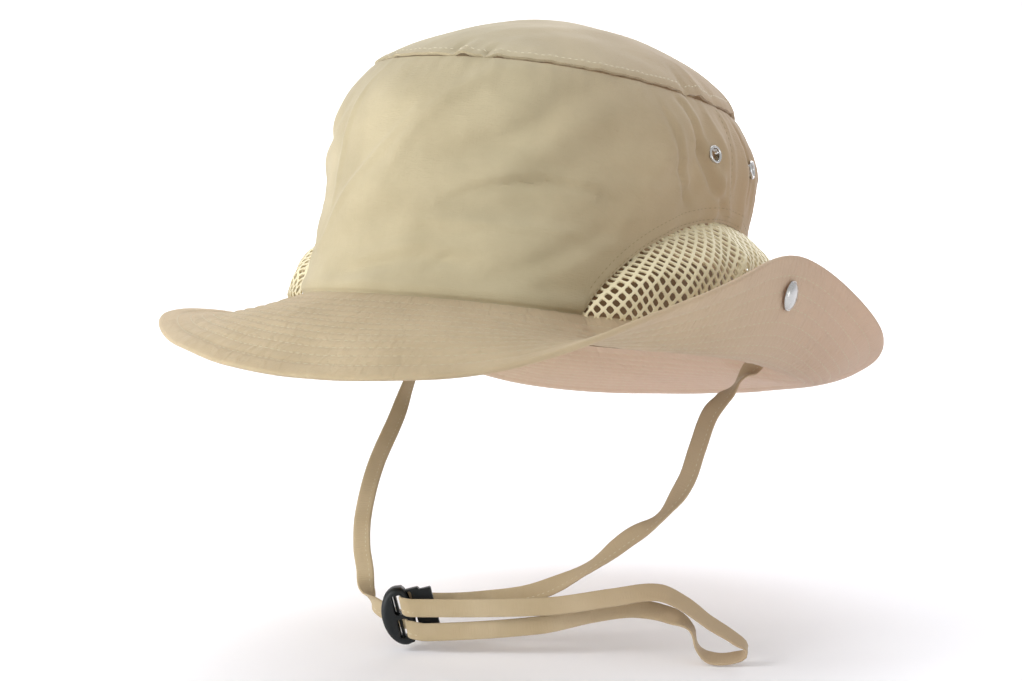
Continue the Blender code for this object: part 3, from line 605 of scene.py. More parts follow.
def brimRelief(angle, share):
    # grooves where the stitch rows pull the layers together, and small ripples between them
    groove = 0.0
    for row in rowShares:
        off = (share - row) * brimLength / brim["grooveWidth"]
        if abs(off) < 3.0:
            groove += bell(off, 1.0)
    reach = math.radians(angle) * (meanRadius + share * brim["width"])
    down = share * brimLength / brim["rowStep"]
    loose = 0.6 + 0.8 * noiseAt(angle / 25.0, share * 2.0, 7.0)
    between = (1.0 - 0.6 * min(groove, 1.0)) * min(1.0, 8.0 * (1.0 - share))
    wave = noiseAt(reach / brim["rippleLength"] + brim["slant"] * down, down * 0.7, 3.0)
    ripple = brim["ripple"] * 2.0 * wave * loose * between
    # the drawn-up part of the raised side, where the cloth crinkles across the rows
    drawn = bell(angle - brim["crinkleAt"], brim["crinkleSpan"])
    drawn *= bell(share - brim["crinkleShare"], brim["crinkleReach"])
    if drawn > 0.01:
        bend = 2.0 * noiseAt(share * 5.0, angle / 20.0, 1.0)
        wave = math.sin(math.tau * reach / brim["crinkleLength"] + bend * 2.2)
        ripple += brim["crinkle"] * drawn * wave * between
    return -brim["groove"] * groove, ripple


def brimSurface(angle, share, side):
    groove, ripple = brimRelief(angle, share)
    hem = brim["hemLift"] if share > rowShares[0] else 0.0
    turn = math.radians(angle)
    wave = 0.0007 * noiseAt(math.sin(turn) * 5.0, math.cos(turn) * 5.0, 2.0 * share) * share
    half = 0.5 * brim["wall"] + hem + groove
    middle = -0.5 * brim["wall"] + ripple + wave
    return brimPoint(angle, share) + brimNormal(angle, share) * (middle + side * half)


def brimStations():
    # rows across the brim: one in each stitch row, one either side of it and one between, then the rim
    shares = [0.0]
    for row in sorted(rowShares):
        shares += [row + off / brimLength for off in (-0.0022, -0.0010, 0.0, 0.0010)]
    last = rowShares[0]
    shares += [last + (1.0 - last) * k / 5 for k in range(2, 6)]
    return [s for s in shares if s >= 0.0]


def brimAngle(u):
    # columns stand closer together round the raised side, where the crinkles are
    if u < 0.5:
        return -180.0 + 480.0 * u
    if u < 0.9:
        return 60.0 + 175.0 * (u - 0.5)
    return 130.0 + 500.0 * (u - 0.9)


def makeBrim():
    shares = brimStations()
    rows = len(shares) - 1
    around = 5  # rows that turn round the rolled rim
    whole = 2 * rows + around + 1

    def place(u, v):
        angle = brimAngle(u)
        step = round(v * whole) % whole
        if step <= rows:
            return brimSurface(angle, shares[step], 1.0)
        if step >= rows + around:
            return brimSurface(angle, shares[2 * rows + around - step], -1.0)
        turn = math.pi * (step - rows) / around
        top = brimSurface(angle, 1.0, 1.0)
        low = brimSurface(angle, 1.0, -1.0)
        out = (brimPoint(angle, 1.0) - brimPoint(angle, 0.98)).normalized()
        bow = out * (0.5 * (top - low).length * math.sin(turn))
        return top.lerp(low, 0.5 * (1.0 - math.cos(turn))) + bow

    def flat(u, v):
        return (u * 0.80, v * 2.0 * brim["width"])

    bm = wrapSheet(brim["columns"], whole, place, flat)
    piece = finishPiece("brimCloth", bm, brimKhaki, "hat", ["brim"], 50, worn)
    store = []
    for side in (1.0, -1.0):
        for row in rowShares:
            def route(t, row=row, side=side):
                angle = -180.0 + 360.0 * t
                return brimSurface(angle, row, side), brimNormal(angle, row) * side
            sewRow(store, route, brim["stitch"])
    makeStitches("brimStitching", store, brim["stitch"], paleThread, "hat", worn)
    return piece


brimCloth = makeBrim()
print("brim made")

# Eyelets: two over each vent, either side of the side seam
eyelet = {
    "outer": 0.0040, "hole": 0.0026, "height": 0.0765, "fromSeam": 0.0140, "lift": 0.0011,
    "cut": 0.0031,  # the cloth's hole, whose edge the ring covers
}


def eyeletPlaces():
    step = math.degrees(eyelet["fromSeam"] / hat["topHalfWidth"])
    for side, word in ((1, "left"), (-1, "right")):
        for way, end in ((-1, "front"), (1, "back")):
            yield word + "_" + end, side * (hat["sideSeam"] + way * step)


# Crown: front and back panels joined at the sides over the vents, and a gathered top panel
crown = {
    "columns": 250, "backColumns": 190, "rows": 88, "topColumns": 260, "topRows": 64,
    "hemWidth": 0.0075, "hemLift": 0.00035, "hemRows": (0.0016, 0.0066),
    "dip": 0.00030, "dipWidth": 0.0008,    # where a stitch row pulls the cloth in
    "tuck": 0.0003, "tuckReach": 0.0014, "sink": 0.0009,
    "puff": 0.0009, "puffAt": 0.0042, "puffWidth": 0.0030, "turnIn": 0.0010, "turnInReach": 0.0009,
    "seamRaise": 0.00045, "seamWidth": 0.0030, "seamRow": 0.0022, "seamDip": 0.0007,
    "seamIn": 0.0009, "seamDown": 0.0004,  # the top panel's edge goes in behind the side's
    "topRow": 0.0030, "topFold": 0.0024,
    "gather": 0.00090, "gatherLength": 0.0075, "gatherReach": 0.010,
    "creaseScale": 0.00135,                # metres a unit of crease depth stands for, drawn a third deeper
    "sideStitch": {"pitch": 0.0027, "fill": 0.66, "lift": 0.00003, "width": 0.00042},
    "topStitch": {"pitch": 0.0028, "fill": 0.66, "lift": 0.00003, "width": 0.00050},
}

topCreases = (
    # angle, in from the edge, length, width, depth: short creases of the top panel beside its seam
    (5.0, 0.006, 0.008, 0.0016, -0.0021),
    (8.5, 0.006, 0.010, 0.0026, 0.0010),
    (17.0, 0.005, 0.007, 0.0016, -0.0019),
    (-24.0, 0.004, 0.008, 0.0024, -0.0008),
    (84.0, 0.006, 0.010, 0.0026, -0.0014),
    (92.0, 0.010, 0.014, 0.0030, 0.0012),
    (100.0, 0.006, 0.010, 0.0024, -0.0014),
    (118.0, 0.006, 0.012, 0.0030, 0.0010),
    (128.0, 0.005, 0.010, 0.0026, -0.0012),
    (150.0, 0.008, 0.014, 0.0036, 0.0010),
    (-95.0, 0.006, 0.012, 0.0026, -0.0012),
    (-120.0, 0.006, 0.012, 0.0030, 0.0010),
    (-160.0, 0.006, 0.012, 0.0030, -0.0010),
)


def creasePaths():
    # each line's steps in millimetres round and up the wall, with its middle's angle and its reach
    girth = 1000.0 * math.radians(1.0) * meanRadius
    paths = []
    for depth, width, lip, line in creaseLines:
        middle = 0.5 * (line[0][0] + line[-1][0])
        spots = [Vector(((a - middle) * girth, h * 1000.0 * hat["crownHeight"])) for a, h in line]
        whole = sum((b - a).length for a, b in zip(spots, spots[1:]))
        steps = []
        done = 0.0
        for a, b in zip(spots, spots[1:]):
            length = (b - a).length
            steps.append((a, (b - a) / length, length, done / whole, length / whole))
            done += length
        room = 3.2 * width
        bounds = [min(s.x for s in spots) - room, max(s.x for s in spots) + room]
        bounds += [min(s.y for s in spots) - room, max(s.y for s in spots) + room]
        paths.append((depth, width, lip, middle, steps, bounds))
    return girth, paths


creaseGirth, creasePath = creasePaths()


def creaseSum(angle, share):
    total = 0.0
    y = share * 1000.0 * hat["crownHeight"]
    for depth, width, lip, middle, steps, bounds in creasePath:
        x = wrapped(angle - middle) * creaseGirth
        if not (bounds[0] < x < bounds[1] and bounds[2] < y < bounds[3]):
            continue
        nearest = None
        for start, way, length, before, part in steps:
            along = (x - start.x) * way.x + (y - start.y) * way.y
            off = (y - start.y) * way.x - (x - start.x) * way.y
            kept = min(max(along, 0.0), length)
            far = math.hypot(off, along - kept)
            if nearest is None or far < nearest[0]:
                nearest = (far, off, before + part * kept / length)
        far, off, spot = nearest
        fade = math.sin(math.pi * min(max(spot, 0.02), 0.98)) ** 0.6
        # the lip stands mostly on one side of the crease
        upper = 1.0 if off > 0.0 else 0.3
        total += depth * fade * (lip * upper * bell(far - 1.8 * width, width) - bell(far, width))
    return crown["creaseScale"] * total


def gather(angle, away):
    # small gathers that run out from the top seam
    wave = noiseAt(math.radians(angle) * hat["halfWidth"] / crown["gatherLength"] * 1.3, away / 0.03, 11.0)
    return crown["gather"] * wave * math.exp(-away / crown["gatherReach"])


def softNoise(angle, height):
    # slow unevenness of worn cloth and faint slack wrinkles that run aslant
    x = math.radians(angle) * meanRadius
    slow = noiseAt(x / 0.030, height / 0.022, 1.7)
    aslant = noiseAt((x + height * 0.6) / 0.040, (height - 0.35 * x) / 0.0075, 5.3)
    return 0.0007 * slow + 0.00055 * aslant


def sideFine(angle, height):
    share = height / hat["crownHeight"]
    below = hat["crownHeight"] - height
    low = archHeight(angle)
    above = height - low
    fine = creaseSum(angle, share) + softNoise(angle, height) * math.sin(math.pi * clamp(share)) ** 0.4
    fine += gather(angle, below)
    fine -= crown["tuck"] * (bell(below, crown["tuckReach"]) + 0.6 * bell(above, crown["tuckReach"]))
    if low <= 0.0:
        # the lower edge is turned in at the brim's seam, and the cloth puffs out over it
        fine += crown["puff"] * bell(height - crown["puffAt"], crown["puffWidth"])
        fine -= crown["turnIn"] * bell(max(height, 0.0), crown["turnInReach"])
    else:
        # the hem over the vent, with two stitch rows
        if above < crown["hemWidth"]:
            fine += crown["hemLift"]
        fine -= crown["dip"] * sum(bell(above - row, crown["dipWidth"]) for row in crown["hemRows"])
    if above > crown["hemWidth"] * 0.5:
        # the flat-felled side seam
        away = abs(abs(angle) - hat["sideSeam"]) * math.radians(1.0) * hat["halfWidth"]
        raised = bell(away, crown["seamWidth"], 4) - bell(away - crown["seamRow"], crown["seamDip"])
        pucker = noiseAt(height / 0.0075, 2.0 if angle > 0 else 9.0, away / 0.006)
        fine += crown["seamRaise"] * raised + 0.0006 * pucker * math.exp(-away / 0.007)
    return fine


def makeSidePanel(name, start, end, columns, node):
    def place(u, v):
        angle = start + (end - start) * u
        low = archHeight(angle, hat["gap"]) + hat["gap"]
        low -= crown["sink"] * max(0.0, 1.0 - low / 0.002)
        height = low + (hat["crownHeight"] - low) * (v - 0.6 * math.sin(math.tau * v) / math.tau)
        return wallPoint(angle, height, sideFine(wrapped(angle), height))

    def flat(u, v):
        angle = start + (end - start) * u
        low = archHeight(angle)
        return (math.radians(angle) * meanRadius, low + (hat["crownHeight"] - low) * v)

    bm = wrapSheet(columns, crown["rows"], place, flat, False)
    seats = [wallPoint(spot[1], eyelet["height"]) for spot in eyeletPlaces()]
    holes = [f for f in bm.faces if min((f.calc_center_median() - s).length for s in seats) < eyelet["cut"]]
    bmesh.ops.delete(bm, geom=holes, context="FACES")
    bmesh.ops.recalc_face_normals(bm, faces=bm.faces)
    middle = bm.faces[:][len(bm.faces) // 2]
    if middle.normal.xy.dot(middle.calc_center_median().xy) < 0.0:
        bmesh.ops.reverse_faces(bm, faces=bm.faces)
    bmesh.ops.solidify(bm, geom=bm.faces[:], thickness=hat["cloth"])
    return finishPiece(name, bm, crownKhaki, "hat", [node], 50, worn)


seamAngle = hat["sideSeam"]
crownFront = makeSidePanel("crownFrontCloth", -seamAngle, seamAngle, crown["columns"], "crown_front")
crownBack = makeSidePanel("crownBackCloth", seamAngle, 360.0 - seamAngle, crown["backColumns"], "crown_back")


def topPoint(angle, share, lift=0.0):
    point = domePoint(angle, share)
    edge = wallPoint(angle, hat["crownHeight"])
    away = (point - edge).length
    slow = noiseAt(point.x / 0.030, point.y / 0.026, 4.2)
    aslant = noiseAt((point.x + point.y) / 0.045, (point.x - 0.6 * point.y) / 0.010, 8.1)
    lift += gather(angle, away) * 1.2 + (0.0009 * slow + 0.0005 * aslant) * min(1.0, away / 0.02)
    for middle, inward, length, width, depth in topCreases:
        across = math.radians(wrapped(angle - middle)) * hat["halfWidth"] * (1.0 - share)
        far = (across / width) ** 2 + ((away - inward) / length) ** 2
        if far < 9.0:
            lift += depth * math.exp(-far)
    # seam allowance turned inwards under the top panel, its stitch row and the dip into the seam
    row = away - crown["topRow"]
    lift += 0.0002 * bell(row, crown["topFold"], 4) - crown["dip"] * bell(row, crown["dipWidth"])
    near = bell(away, 0.0015)
    point -= outward(angle) * (crown["seamIn"] * near)
    point.z += lift - crown["seamDown"] * near
    return point


def makeTop():
    def place(u, v):
        return topPoint(-180.0 + 360.0 * u, 1.0 - (1.0 - v) ** 0.8 if v > 0.0 else 0.0)

    def flat(u, v):
        turn = math.tau * u
        return ((1.0 - v) * hat["halfWidth"] * math.sin(turn), -(1.0 - v) * 0.105 * math.cos(turn))

    bm = wrapSheet(crown["topColumns"], crown["topRows"], place, flat)
    bmesh.ops.recalc_face_normals(bm, faces=bm.faces)
    if sum(f.normal.z for f in bm.faces) < 0.0:
        bmesh.ops.reverse_faces(bm, faces=bm.faces)
    bmesh.ops.solidify(bm, geom=bm.faces[:], thickness=hat["cloth"])
    return finishPiece("crownTopCloth", bm, crownKhaki, "hat", ["crown_top"], 50, worn)


crownTop = makeTop()


def sewCrown():
    def onSide(angle, height):
        return wallPoint(angle, height, sideFine(angle, height)), wallNormal(angle, height)

    tan = []
    for side in (1, -1):
        for row in crown["hemRows"]:
            def arch(t, row=row, side=side):
                angle = side * hat["sideSeam"] + vent["halfAngle"] * 0.985 * (2.0 * t - 1.0)
                return onSide(angle, archHeight(angle) + row + hat["gap"])
            sewRow(tan, arch, crown["sideStitch"])
        for off in (-crown["seamRow"], crown["seamRow"]):
            def seam(t, off=off, side=side):
                angle = side * hat["sideSeam"] + math.degrees(off / hat["halfWidth"])
                low = archHeight(angle) + 0.0085
                return onSide(angle, low + t * (hat["crownHeight"] - low - 0.0010))
            sewRow(tan, seam, crown["sideStitch"])

    def top(t):
        angle = -180.0 + 360.0 * t
        share = crown["topRow"] / 0.080
        across = topPoint(angle + 0.5, share) - topPoint(angle - 0.5, share)
        inward = topPoint(angle, share + 0.01) - topPoint(angle, share - 0.01)
        normal = across.cross(inward).normalized()
        return topPoint(angle, share), normal if normal.z > 0.0 else -normal

    pale = []
    sewRow(pale, top, crown["topStitch"])
    makeStitches("crownSeamStitching", tan, crown["sideStitch"], tanThread, "hat", worn)
    makeStitches("crownTopStitching", pale, crown["topStitch"], ecruThread, "hat", worn)


sewCrown()
print("crown made")


# Net vents: a diamond net knitted flat, then laid to the wall and drawn out between arch and brim
def netLay(side):
    # lengths round and up the drawn-out wall, so that the net's gaps keep their size
    def lengths(points):
        reach = [0.0]
        for a, b in zip(points, points[1:]):
            reach.append(reach[-1] + (b - a).length)
        return reach

    angles = [side * hat["sideSeam"] + off for off in range(-56, 57, 2)]
    girths = lengths([wallPoint(a, 0.35 * archHeight(a)) for a in angles])
    middle = girths[len(angles) // 2]
    below = 4
    heights = [0.001 * (k - below) for k in range(64)]
    columns = []
    for angle in angles:
        up = lengths([wallPoint(angle, h) for h in heights])
        columns.append([v - up[below] for v in up])
    return angles, [g - middle for g in girths], heights, columns


def between(values, want):
    # place of a value in a rising list, as an index and the share on to the next
    for k in range(len(values) - 1):
        if want < values[k + 1]:
            return k, max(0.0, (want - values[k]) / (values[k + 1] - values[k]))
    return len(values) - 2, 1.0


def layOn(lay, x, y):
    # the angle and height at which a point of the flat net comes to lie
    angles, girths, heights, columns = lay
    k, mix = between(girths, x)
    found = []
    for column in (columns[k], columns[k + 1]):
        j, part = between(column, y)
        found.append(heights[j] + (heights[j + 1] - heights[j]) * part)
    return angles[k] + (angles[k + 1] - angles[k]) * mix, found[0] + (found[1] - found[0]) * mix


def makeNet(name, side, node):
    lay = netLay(side)
    cell = vent["pitch"] / math.sqrt(2.0)
    count = int(0.25 / cell)
    bm = bmesh.new()
    bmesh.ops.create_grid(bm, x_segments=count, y_segments=count, size=0.5 * count * cell)
    bmesh.ops.rotate(bm, verts=bm.verts, matrix=Matrix.Rotation(math.radians(45.0), 3, "Z"))
    bmesh.ops.scale(bm, verts=bm.verts, vec=(0.95, vent["tall"], 1.0))

    def outside(face):
        spot = face.calc_center_median()
        if spot.y < -0.0022 or spot.y > 0.08 or abs(spot.x) > 0.11:
            return True
        angle, height = layOn(lay, spot.x, spot.y)
        arch = archHeight(angle, vent["tuck"])
        return height > arch or arch <= 0.0

    bmesh.ops.delete(bm, geom=[f for f in bm.faces if outside(f)], context="FACES")
    kept = bm.faces[:]
    bmesh.ops.inset_individual(bm, faces=kept, thickness=0.5 * vent["strand"], use_even_offset=True)
    bmesh.ops.delete(bm, geom=kept, context="FACES")
    bmesh.ops.recalc_face_normals(bm, faces=bm.faces)
    bmesh.ops.solidify(bm, geom=bm.faces[:], thickness=vent["thick"])
    bmesh.ops.subdivide_edges(bm, edges=bm.edges[:], cuts=1, use_grid_fill=True)
    for factor, through in ((0.5, False), (0.3, True)):
        bmesh.ops.smooth_vert(
            bm, verts=bm.verts, factor=factor, use_axis_x=True, use_axis_y=True, use_axis_z=through
        )
    lowest = min(v.co.z for v in bm.verts)
    for vert in bm.verts:
        # the knit is pulled askew towards the back of the arch, where it bunches
        pull = 0.0016 * noiseAt(vert.co.x / 0.016, vert.co.y / 0.012, 2.0 + side)
        angle, height = layOn(lay, vert.co.x + pull, vert.co.y + 0.6 * pull)
        arch = archHeight(angle)
        # it goes in under the cloth above and under the brim's seam below
        under = vent["under"] * (clamp((height - arch + 0.0015) / 0.002) if arch > 0.0 else 1.0)
        below = vent["below"] * clamp((0.001 - height) / 0.002)
        x = math.radians(angle) * meanRadius
        bunch = math.sin(x / vent["bunch"] - height / (1.6 * vent["bunch"]))
        slack = vent["pucker"] * bunch * (0.35 + noiseAt(x / 0.020, height / 0.012, 6.0))
        slack *= clamp((arch - height) / 0.006) * clamp(height / 0.006)
        inward = vent["thick"] * 0.2 + under + below - slack - (vert.co.z - lowest)
        vert.co = wallPoint(angle, height) - wallNormal(angle, max(height, 0.0005)) * inward
    return finishPiece(name, bm, netLook, "hat", [node], 70, worn)


netLeft = makeNet("ventNetLeft", 1, "vent_net_left")
netRight = makeNet("ventNetRight", -1, "vent_net_right")
print("nets made")

# Sweatband inside the opening
band = {
    "height": 0.030, "below": 0.002, "gap": 0.0011, "wall": 0.0014, "sewn": (0.003, 0.027),
    "stitch": {"pitch": 0.0030, "fill": 0.70, "lift": 0.00003, "width": 0.00040},
}


def bandPoint(angle, height, depth):
    turn = math.radians(angle)
    wave = 0.0003 * noiseAt(math.sin(turn) * 9.0, math.cos(turn) * 9.0, height / 0.01)
    inward = hat["cloth"] + band["gap"] + depth + wave
    share = max(height, 0.0) / hat["crownHeight"]
    point = headOval(angle).lerp(topOval(angle), share) - outward(angle) * inward
    point.z = height
    return point


def makeBand():
    rows = 20

    def place(u, v):
        angle = -180.0 + 360.0 * u
        step = v * (2 * rows + 3)
        if step > 2 * rows + 2.5:
            step = 0.0
        high = band["height"] + band["below"]
        if step <= rows:
            return bandPoint(angle, -band["below"] + high * step / rows, 0.0)
        if step >= rows + 2:
            return bandPoint(angle, -band["below"] + high * (2 * rows + 2 - step) / rows, band["wall"])
        return bandPoint(angle, band["height"] + 0.0003, 0.5 * band["wall"])

    bm = wrapSheet(220, 2 * rows + 3, place, lambda u, v: (u * 0.6, v * 0.07))
    piece = finishPiece("sweatbandCloth", bm, bandLook, "hat", ["sweatband"], 50, worn)
    store = []
    for height in band["sewn"]:
        def row(t, height=height):
            angle = -180.0 + 360.0 * t
            return bandPoint(angle, height, band["wall"]), -outward(angle)
        sewRow(store, row, band["stitch"])
    makeStitches("bandStitching", store, band["stitch"], tanThread, "hat", worn)
    return piece


sweatband = makeBand()
print("sweatband made")

# Eyelets and snaps: pressed metal, turned about their own axis
snap = {"radius": 0.0064, "rise": 0.0024, "angle": 88.3, "fromRim": 0.0120, "askew": 0.16}


def seated(point, normal):
    z = normal.normalized()
    x = Vector((0.0, 0.0, 1.0)).cross(z).normalized()
    place = Matrix((x, z.cross(x), z)).transposed().to_4x4()
    place.translation = point
    return place


def turned(section, closed):
    # spins a half section of radius and height pairs about Z
    bm = bmesh.new()
    verts = [bm.verts.new((r, 0.0, h)) for r, h in section]
    edges = [bm.edges.new(pair) for pair in zip(verts, verts[1:])]
    if closed:
        edges.append(bm.edges.new((verts[-1], verts[0])))
    bmesh.ops.spin(
        bm, geom=verts + edges, cent=(0, 0, 0), axis=(0, 0, 1), angle=math.tau, steps=40, use_merge=True
    )
    bmesh.ops.remove_doubles(bm, verts=bm.verts, dist=1e-6)
    return bm


def makeEyelets():
    hole = eyelet["hole"]
    outer = eyelet["outer"]
    middle = 0.5 * (outer + hole)
    half = 0.5 * (outer - hole)
    section = []
    for k in range(9):
        turn = math.pi * k / 8
        section.append((middle - half * math.cos(turn), 0.0002 + (eyelet["lift"] - 0.0002) * math.sin(turn)))
    section += [(hole + 0.0004, 0.0001), (hole + 0.0004, -0.0013), (outer - 0.0004, -0.0014)]
    section += [(outer - 0.0006, -0.0018), (hole + 0.0002, -0.0017)]
    for word, angle in eyeletPlaces():
        bm = turned(section, True)
        seat = wallPoint(angle, eyelet["height"], sideFine(angle, eyelet["height"]))
        bm.transform(seated(seat, wallNormal(angle, eyelet["height"])))
        name = "eyeletRing" + word.title().replace("_", "")
        finishPiece(name, bm, nickel, "hat", ["eyelet_" + word], 60, worn)


def makeSnaps():
    for side, word in ((1, "left"), (-1, "right")):
        angle = side * snap["angle"]
        share = 1.0 - snap["fromRim"] / brim["width"]
        under = -brimNormal(angle, share)
        seat = brimPoint(angle, share) + under * (brim["wall"] + 0.0004)
        # the cap sits a little askew in the soft cloth, lifted at its front
        under = (under + outward(angle + side * 90.0) * snap["askew"]).normalized()
        radius = snap["radius"]
        rise = snap["rise"]
        section = [(0.0, rise)]
        for k in range(1, 9):
            turn = 0.5 * math.pi * k / 8
            section.append((radius * 0.90 * math.sin(turn), rise * 0.25 + rise * 0.75 * math.cos(turn)))
        rolled = ((0.93, 0.20), (0.98, 0.24), (1.0, 0.12), (0.97, 0.0), (0.0, 0.0))
        section += [(radius * out, rise * up) for out, up in rolled]
        bm = turned(section, False)
        bm.transform(seated(seat, under))
        node = "brim_snap_" + word
        finishPiece("snapCap" + word.title(), bm, nickel, "hat", [node], 50, worn)


makeEyelets()
makeSnaps()
print("metal made")

# Chin strap: one folded and stitched tape, from the left seam through the lock, round the tail and back up
strap = {
    "width": 0.0076, "wall": 0.0013, "seatAngle": 116.25, "seatGap": 0.0010, "seatHeight": 0.0075,
    "step": 0.0016, "edgeRow": 0.0021, "rowWidth": 0.0005, "rowDip": 0.34, "nearLock": 0.012,
    "stitch": {"pitch": 0.0024, "fill": 0.66, "lift": 0.00006, "width": 0.00036},
}
lock = {
    "width": 0.0135, "height": 0.0250, "depth": 0.0092, "tilt": 14.0, "faces": 32.4,
    "centre": (-0.0200, -0.0655, -0.1192),
    "windowWidth": 0.0050, "windowMargin": 0.0004, "bridge": 0.0018, "gap": 0.0003, "travel": 0.0036,
    "buttonThick": 0.0040, "buttonReach": 0.0095, "headHeight": 0.0180, "runGap": 0.0004, "pass": 0.0015,
    "lead": 0.0015, "rim": 0.0026, "shoulder": 0.0006,
}

strapRoute = {
    "leftSide": (
        # x, y, z, widthX, widthY, widthZ
        (0.0856, 0.0485, -0.0190, 0.80, 0.55, 0.10),
        (0.0835, 0.0390, -0.0250, 0.62, -0.33, 0.40),
        (0.0823, 0.0292, -0.0300, 0.75, 0.10, -0.05),
        (0.0808, 0.0190, -0.0367, 0.82, 0.37, -0.43),
        (0.0810, 0.0080, -0.0496, 0.86, 0.30, -0.41),
        (0.0800, 0.0000, -0.0625, 0.86, 0.20, -0.45),
        (0.0750, -0.0120, -0.0760, 0.74, -0.60, -0.1),
        (0.0640, -0.0200, -0.0850, 0.64, -0.10, -0.76),
        (0.0490, -0.0280, -0.0980, 0.55, -0.70, -0.36),
        (0.0270, -0.0350, -0.1095, 0.30, -0.10, -0.94),
        (0.0050, -0.0430, -0.1140, 0.16, -0.03, -0.99),
        (-0.0120, -0.0500, -0.1155, 0.10, -0.03, -0.99),
    ),
    "tail": (
        (-0.0120, -0.0700, -0.1145, 0.10, -0.07, -0.99),
        (0.0400, -0.0460, -0.1120, 0.12, -0.06, -0.99),
        (0.0650, -0.0340, -0.1075, 0.20, -0.15, -0.95),
        (0.0810, -0.0260, -0.1050, 0.18, -0.50, -0.85),
        (0.0910, -0.0220, -0.1090, 0.05, -0.80, -0.60),
        (0.1010, -0.0170, -0.1170, 0.25, -0.80, -0.55),
        (0.1110, -0.0130, -0.1235, 0.35, -0.80, -0.45),
        (0.1155, -0.0120, -0.1280, 0.45, -0.85, -0.25),
        (0.1110, -0.0140, -0.1310, 0.45, -0.80, -0.40),
        (0.1025, -0.0180, -0.1315, 0.40, -0.80, -0.45),
        (0.0965, -0.0190, -0.1275, 0.50, -0.85, -0.20),
        (0.0925, -0.0180, -0.1200, 0.45, -0.85, -0.25),
        (0.0820, -0.0190, -0.1155, 0.10, -0.60, -0.80),
        (0.0690, -0.0250, -0.1135, 0.10, -0.16, -0.98),
        (0.0540, -0.0330, -0.1160, 0.16, -0.03, -0.98),
        (0.0350, -0.0440, -0.1210, 0.16, -0.03, -0.99),
        (-0.0070, -0.0660, -0.1250, 0.12, -0.03, -0.99),
    ),
    "rightSide": (
        (-0.0370, -0.0600, -0.1185, 0.20, 0.10, -0.97),
        (-0.0445, -0.0570, -0.1120, 0.70, 0.45, -0.55),
        (-0.0475, -0.0540, -0.1050, 0.85, 0.50, 0.10),
        (-0.0535, -0.0480, -0.0965, 0.75, 0.60, 0.25),
        (-0.0620, -0.0350, -0.0850, 0.60, 0.75, 0.25),
        (-0.0720, -0.0120, -0.0680, 0.30, 0.90, 0.30),
        (-0.0790, 0.0150, -0.0490, 0.10, 0.95, 0.30),
        (-0.0835, 0.0330, -0.0330, -0.10, 0.98, 0.20),
        (-0.0855, 0.0465, -0.0210, -0.25, 0.95, 0.10),
    ),
}


def lockPlace():
    turn = Matrix.Rotation(math.radians(lock["faces"]), 4, "Z")
    tilt = Matrix.Rotation(math.radians(-lock["tilt"]), 4, "Y")
    return Matrix.Translation(lock["centre"]) @ turn @ tilt


def windowRises():
    rise = 0.5 * lock["bridge"] + lock["windowMargin"] + 0.5 * strap["width"]
    return (rise, -rise)


def tapeAcross():
    return 0.5 * lock["windowWidth"] - lock["gap"] - 0.5 * strap["wall"]


def lockPassage(window, order):
    place = lockPlace()
    axis = (place.to_3x3() @ Vector((0.0, 0.0, -1.0))).normalized()
    x = tapeAcross()
    z = windowRises()[window]
    return [(*(place @ Vector((x, back, z))), *axis) for back in order]


def strapEnd(side):
    angle = side * strap["seatAngle"]
    along = worn.to_3x3() @ (outward(angle).cross(Vector((0.0, 0.0, 1.0))))
    seat = headOval(angle)
    seat += outward(angle) * (seamDrawn(angle) - hat["cloth"] - strap["seatGap"] - 0.5 * strap["wall"])
    return [(*(worn @ (seat + Vector((0.0, 0.0, height)))), *along) for height in (strap["seatHeight"], 0.0)]


def strapRows():
    deep = 0.5 * lock["depth"]
    out = deep + lock["pass"]
    rows = strapEnd(1) + list(strapRoute["leftSide"])
    rows += lockPassage(0, (out, deep, -deep, -out))
    rows += list(strapRoute["tail"])
    rows += lockPassage(1, (-out, -deep, deep, out))
    rows += list(strapRoute["rightSide"]) + list(reversed(strapEnd(-1)))
    return rows


def smoothRoute(rows, spacing):
    middles = [Vector(row[:3]) for row in rows]
    ways = [Vector(row[3:]).normalized() for row in rows]
    for k in range(1, len(ways)):
        if ways[k].dot(ways[k - 1]) < 0.0:
            ways[k] = -ways[k]
    points = []
    sides = []
    for k in range(len(middles) - 1):
        a = middles[max(k - 1, 0)]
        b = middles[k]
        c = middles[k + 1]
        d = middles[min(k + 2, len(middles) - 1)]
        span = (c - b).length
        count = max(1, round(span / spacing))
        for j in range(count):
            t = j / count
            ease = t * t * (3.0 - 2.0 * t)
            points.append(hermite(t, b, c, (c - a).normalized() * span, (d - b).normalized() * span))
            sides.append(ways[k].lerp(ways[k + 1], ease).normalized())
    points.append(middles[-1])
    sides.append(ways[-1])
    return points, sides


def strapFrames():
    points, sides = smoothRoute(strapRows(), strap["step"])
    frames = []
    for k, point in enumerate(points):
        ahead = (points[min(k + 1, len(points) - 1)] - points[max(k - 1, 0)]).normalized()
        side = (sides[k] - ahead * sides[k].dot(ahead)).normalized()
        frames.append((point, side, ahead.cross(side)))
    return frames


def tapeSection(turn):
    # across and through the tape at a turn of 0 to 1 round it: soft rounded edges and a slight crown
    angle = math.tau * turn
    x = math.cos(angle)
    y = math.sin(angle)
    across = math.copysign(abs(x) ** 0.42, x) * 0.5 * strap["width"]
    through = math.copysign(abs(y) ** 0.55, y) * 0.5 * strap["wall"]
    row = 0.5 * strap["width"] - strap["edgeRow"]
    through *= 1.0 - strap["rowDip"] * bell(across + row, strap["rowWidth"])
    return across, through


